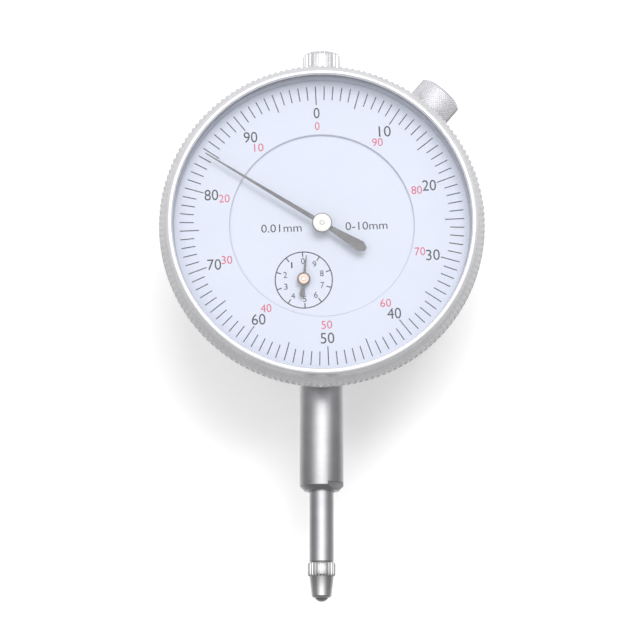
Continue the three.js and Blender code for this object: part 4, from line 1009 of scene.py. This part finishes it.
# %% Turn and knurl the clamp screw
KNURL_COLUMNS = 96
KNURL_ROWS = 15
KNURL_DEPTH = 0.24 * MM
clamp_joint = JOINTS["clamp_turn"]
clamp_out = -Vector(clamp_joint["axis"])
clamp_place = Vector((DIAL_CENTRE.x, clamp_joint["pos_m"][1], DIAL_CENTRE.z))
clamp_turn_angle = math.atan2(clamp_out.x, clamp_out.z)
HEAD_RADIUS = 4.3 * MM
HEAD_OUT = 34.5 * MM
HEAD_IN = 29.3 * MM
HEAD_EDGE = 0.55 * MM
SCREW_RADIUS = 1.5 * MM
SCREW_IN = 23.9 * MM
knurl_from = HEAD_IN + HEAD_EDGE
knurl_to = HEAD_OUT - HEAD_EDGE * 1.1
row_step = (knurl_to - knurl_from) / (KNURL_ROWS - 1)
head_outline = [(SCREW_RADIUS - 0.2 * MM, SCREW_IN), (SCREW_RADIUS, SCREW_IN + 0.2 * MM), (SCREW_RADIUS, HEAD_IN),
                (HEAD_RADIUS - HEAD_EDGE, HEAD_IN), (HEAD_RADIUS - KNURL_DEPTH - 0.06 * MM, knurl_from - 0.12 * MM)]
head_outline += [(HEAD_RADIUS, knurl_from + row * row_step) for row in range(KNURL_ROWS)]
head_outline += [(HEAD_RADIUS - KNURL_DEPTH - 0.06 * MM, knurl_to + 0.12 * MM),
                 (HEAD_RADIUS - 0.42 * MM, HEAD_OUT - 0.26 * MM),
                 (HEAD_RADIUS - 0.8 * MM, HEAD_OUT - 0.09 * MM), (HEAD_RADIUS - 1.6 * MM, HEAD_OUT)]
clamp_head = turn_rings("clamp_thumb_screw", head_outline, KNURL_COLUMNS)


def in_knurl_groove(v):
    """True at every second point of the knurl, staggered from row to row."""
    if math.hypot(v.x, v.y) < HEAD_RADIUS - 0.05 * MM:
        return False
    column = round(math.atan2(v.y, v.x) / (2 * math.pi) * KNURL_COLUMNS)
    row = round((v.z - knurl_from) / row_step)
    return (column + row) % 2 == 1


scale_picked(clamp_head, in_knurl_groove, (HEAD_RADIUS - KNURL_DEPTH) / HEAD_RADIUS)
only(clamp_head)
bpy.ops.object.mode_set(mode="EDIT")
bpy.ops.mesh.select_all(action="SELECT")
bpy.ops.mesh.quads_convert_to_tris(quad_method="SHORTEST_DIAGONAL", ngon_method="BEAUTY")
bpy.ops.object.mode_set(mode="OBJECT")
settle(clamp_head, clamp_place, (0, clamp_turn_angle, 0), smooth=False)
finish_piece(clamp_head, plated_z, "clamp_screw", "plated_knurl", "clamp_screw")

# %% [markdown]
# ## The case, its cover and the lug
# The case is a cast cup. Its wall is turned like the bezel, and bosses for the screws are joined on inside. The back
# cover is a flat turned plate, and the lug that holds the instrument on a post is milled with a rounded end.

# %% Turn the case and join its bosses
CASE_SIDES = 192
CASE_WALL = 1.8 * MM
case_low, case_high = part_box("case")
case_radius = radius_of("case")
case_bore = case_radius - CASE_WALL
SPIGOT = 26.6 * MM
shoulder = bezel_back + 0.3 * MM
groove = (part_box("snap_ring")[0][1] - 0.05 * MM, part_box("snap_ring")[1][1] + 0.05 * MM)
groove_floor = SPIGOT - 0.45 * MM
case = turn_rings("cast_case", [
    (case_bore, case_low[1]), (SPIGOT - 0.1 * MM, case_low[1]), (SPIGOT, case_low[1] + 0.1 * MM),
    (SPIGOT, groove[0]),
    (groove_floor, groove[0]), (groove_floor, groove[1]), (SPIGOT, groove[1]), (SPIGOT, shoulder),
    (case_radius - 0.2 * MM, shoulder), (case_radius, shoulder + 0.2 * MM), (case_radius, case_high[1] - 0.7 * MM),
    (case_radius - 0.2 * MM, case_high[1] - 0.25 * MM), (case_radius - 0.6 * MM, case_high[1]),
    (case_bore, case_high[1]),
], CASE_SIDES, hollow=True)
settle(case, DIAL_CENTRE, FACE_FORWARD)

cover_low, cover_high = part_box("back_cover")
COVER_SCREW_CIRCLE = 22.8 * MM
BOSS_RADIUS = 3.2 * MM
BOSS_LENGTH = 3.5 * MM
BOSS_BORE = 0.85 * MM
STEM_HOLE = 4.05 * MM
BUSH_HOLE = 3.65 * MM
CLAMP_HOLE = 1.6 * MM
COVER_HOLE = 0.95 * MM
screw_places = []
for i in range(4):
    angle = math.radians(45 + 90 * i)
    screw_places.append(DIAL_CENTRE + Vector((math.cos(angle), 0, math.sin(angle))) * COVER_SCREW_CIRCLE)
boss_front = cover_low[1] - BOSS_LENGTH
for place in screw_places:
    carve(case, rod_along_y("boss", BOSS_RADIUS, boss_front, cover_low[1] - 0.05 * MM, place, 48), "UNION")
for place in screw_places:
    carve(case, rod_along_y("drill", BOSS_BORE, boss_front + MM, cover_low[1] + MM, place))
for radius, low, high in ((STEM_HOLE, -case_radius - MM, -case_bore + MM),
                          (BUSH_HOLE, case_bore - MM, case_radius + MM)):
    drill = turn_rings("drill", [(radius, low), (radius, high)], 64)
    carve(case, settle(drill, DIAL_CENTRE))
clamp_drill = turn_rings("drill", [(CLAMP_HOLE, case_bore - MM), (CLAMP_HOLE, case_radius + MM)], 48)
carve(case, settle(clamp_drill, clamp_place, (0, clamp_turn_angle, 0)))
settle(case)
finish_piece(case, case_paint, "case", "case_paint", "case")

# %% Turn the cover
cover_radius = radius_of("back_cover")
cover = turn_rings("turned_cover", [
    (cover_radius, cover_low[1]), (cover_radius, cover_high[1] - 0.35 * MM),
    (cover_radius - 0.12 * MM, cover_high[1] - 0.1 * MM), (cover_radius - 0.35 * MM, cover_high[1]),
    (cover_radius - 1.6 * MM, cover_high[1]),
    (cover_radius - 1.7 * MM, cover_high[1] - 0.12 * MM), (cover_radius - 1.95 * MM, cover_high[1] - 0.12 * MM),
    (cover_radius - 2.05 * MM, cover_high[1]), (1.0 * MM, cover_high[1]),
], CASE_SIDES)
settle(cover, DIAL_CENTRE, FACE_FORWARD)
for place in screw_places:
    carve(cover, rod_along_y("drill", COVER_HOLE, cover_low[1] - MM, cover_high[1] + MM, place))
settle(cover)
finish_piece(cover, cover_plate, "case", "cover_metal", "back_cover")

# %% [markdown]
# ### The cover's screws and the lug
# One slotted screw is turned, its slot is cut, and copies go to the other three holes with their slots at
# different angles, as hand-driven screws end up.

# %% Make the screws
SCREW_HEAD_RADIUS = 1.6 * MM
SCREW_HEAD = 0.55 * MM
SLOT_WIDTH = 0.45 * MM
screw_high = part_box("back_cover_screw_1")[1][1]
screw_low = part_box("back_cover_screw_1")[0][1]
for number, place in enumerate(screw_places, start=1):
    seat = screw_high - SCREW_HEAD
    screw = turn_rings("screw", [
        (0.7 * MM, screw_low), (0.8 * MM, screw_low + 0.1 * MM), (0.8 * MM, seat), (SCREW_HEAD_RADIUS, seat),
        (SCREW_HEAD_RADIUS, screw_high - 0.14 * MM), (SCREW_HEAD_RADIUS - 0.14 * MM, screw_high - 0.03 * MM),
        (SCREW_HEAD_RADIUS - 0.4 * MM, screw_high),
    ], 64)
    fresh_start()
    bpy.ops.mesh.primitive_cube_add(size=1)
    slot_tool = bpy.context.object
    slot_tool.scale = (4 * MM, SLOT_WIDTH, 0.6 * MM)
    slot_tool.location = (0, 0, screw_high)
    carve(screw, slot_tool)
    screw.name = f"slotted_cover_screw_{number}"
    only(screw)
    screw.rotation_euler = (0, 0, math.radians(37 * number))
    bpy.ops.object.transform_apply(location=False, rotation=True, scale=False)
    settle(screw, place, FACE_FORWARD)
    finish_piece(screw, bright_steel, "case", "screw_steel", f"back_cover_screw_{number}")

# %% Mill the lug
LUG_HALF = 2.5 * MM
LUG_RADIUS = 5.5 * MM
HOLE_RADIUS = 3.25 * MM
lug_low, lug_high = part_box("back_lug")
lug_centre_y = lug_high[1] - LUG_RADIUS
FOOT_THICKNESS = 1.5 * MM
WEB_SINK = 0.5 * MM


def block(name, low, high):
    """A block between two corners."""
    fresh_start()
    bpy.ops.mesh.primitive_cube_add(size=1)
    made = bpy.context.object
    made.name = name
    made.scale = Vector(high) - Vector(low)
    made.location = (Vector(low) + Vector(high)) / 2
    bpy.ops.object.transform_apply(location=True, rotation=True, scale=True)
    return made


z = DIAL_CENTRE.z
lug = block("milled_lug", (lug_low[0], lug_low[1], lug_low[2]),
            (lug_high[0], lug_low[1] + FOOT_THICKNESS, lug_high[2]))
web = block("web", (-LUG_HALF, lug_low[1] + WEB_SINK, z - LUG_RADIUS), (LUG_HALF, lug_centre_y, z + LUG_RADIUS))
carve(lug, web, "UNION")
ACROSS = (0, math.pi / 2, 0)
eye = turn_rings("eye", [(LUG_RADIUS, -LUG_HALF), (LUG_RADIUS, LUG_HALF)], 96)
carve(lug, settle(eye, (0, lug_centre_y, z), ACROSS), "UNION")
hole = turn_rings("hole", [(HOLE_RADIUS, -2 * LUG_HALF), (HOLE_RADIUS, 2 * LUG_HALF)], 96)
carve(lug, settle(hole, (0, lug_centre_y, z), ACROSS))
soften(lug, 0.22 * MM, 3)
settle(lug)
finish_piece(lug, cover_plate, "case", "cover_metal", "back_lug")

# %% [markdown]
# ## The upper bush
# The bush that guides the spindle's top stands a little out of the case, under the cap.

# %% Turn the bush
bush_low, bush_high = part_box("upper_bush")
bush_radius = radius_of("upper_bush")
BUSH_BORE = 2.3 * MM
bush = turn_rings("upper_guide_bush", [
    (BUSH_BORE, bush_low[2]), (bush_radius, bush_low[2]), (bush_radius, bush_high[2] - 0.3 * MM),
    (bush_radius - 0.3 * MM, bush_high[2]), (BUSH_BORE, bush_high[2]),
], 96, hollow=True)
settle(bush)
finish_piece(bush, bright_steel, "case", "bright_steel", "upper_bush")

# %% [markdown]
# ## The pieces inside
# What the case hides keeps its frame solid. Each gets the finish of its own metal: brass for plates, wheels and
# bushes, steel for arbors, pins and screws.

# %% Finish the carried-over pieces
FINISH_OF_SLOT = {
    "movement_brass": brass, "bright_steel": bright_steel, "screw_steel": bright_steel, "case_paint": case_paint,
    "satin_steel": stem_steel, "cover_metal": cover_plate, "plated_knurl": plated, "hardened_steel": point_steel,
    "dial_face": dial_paint, "clear_glass": glass, "dark_ring": dark_ring, "hand_steel": hand_steel,
    "ivory_hub": ivory, "copper_hub": copper, "spring_steel": spring_wire,
}
slot_of = {entry["node"]: entry["material_slot"] for entry in frame["record"]["subparts"]}
for node, carried in frame["nodes"].items():
    for slot in carried.material_slots:
        slot.material = FINISH_OF_SLOT[slot_of[node]]
print("carried over:", sum(not carried.hide_render for carried in frame["nodes"].values()), "nodes")
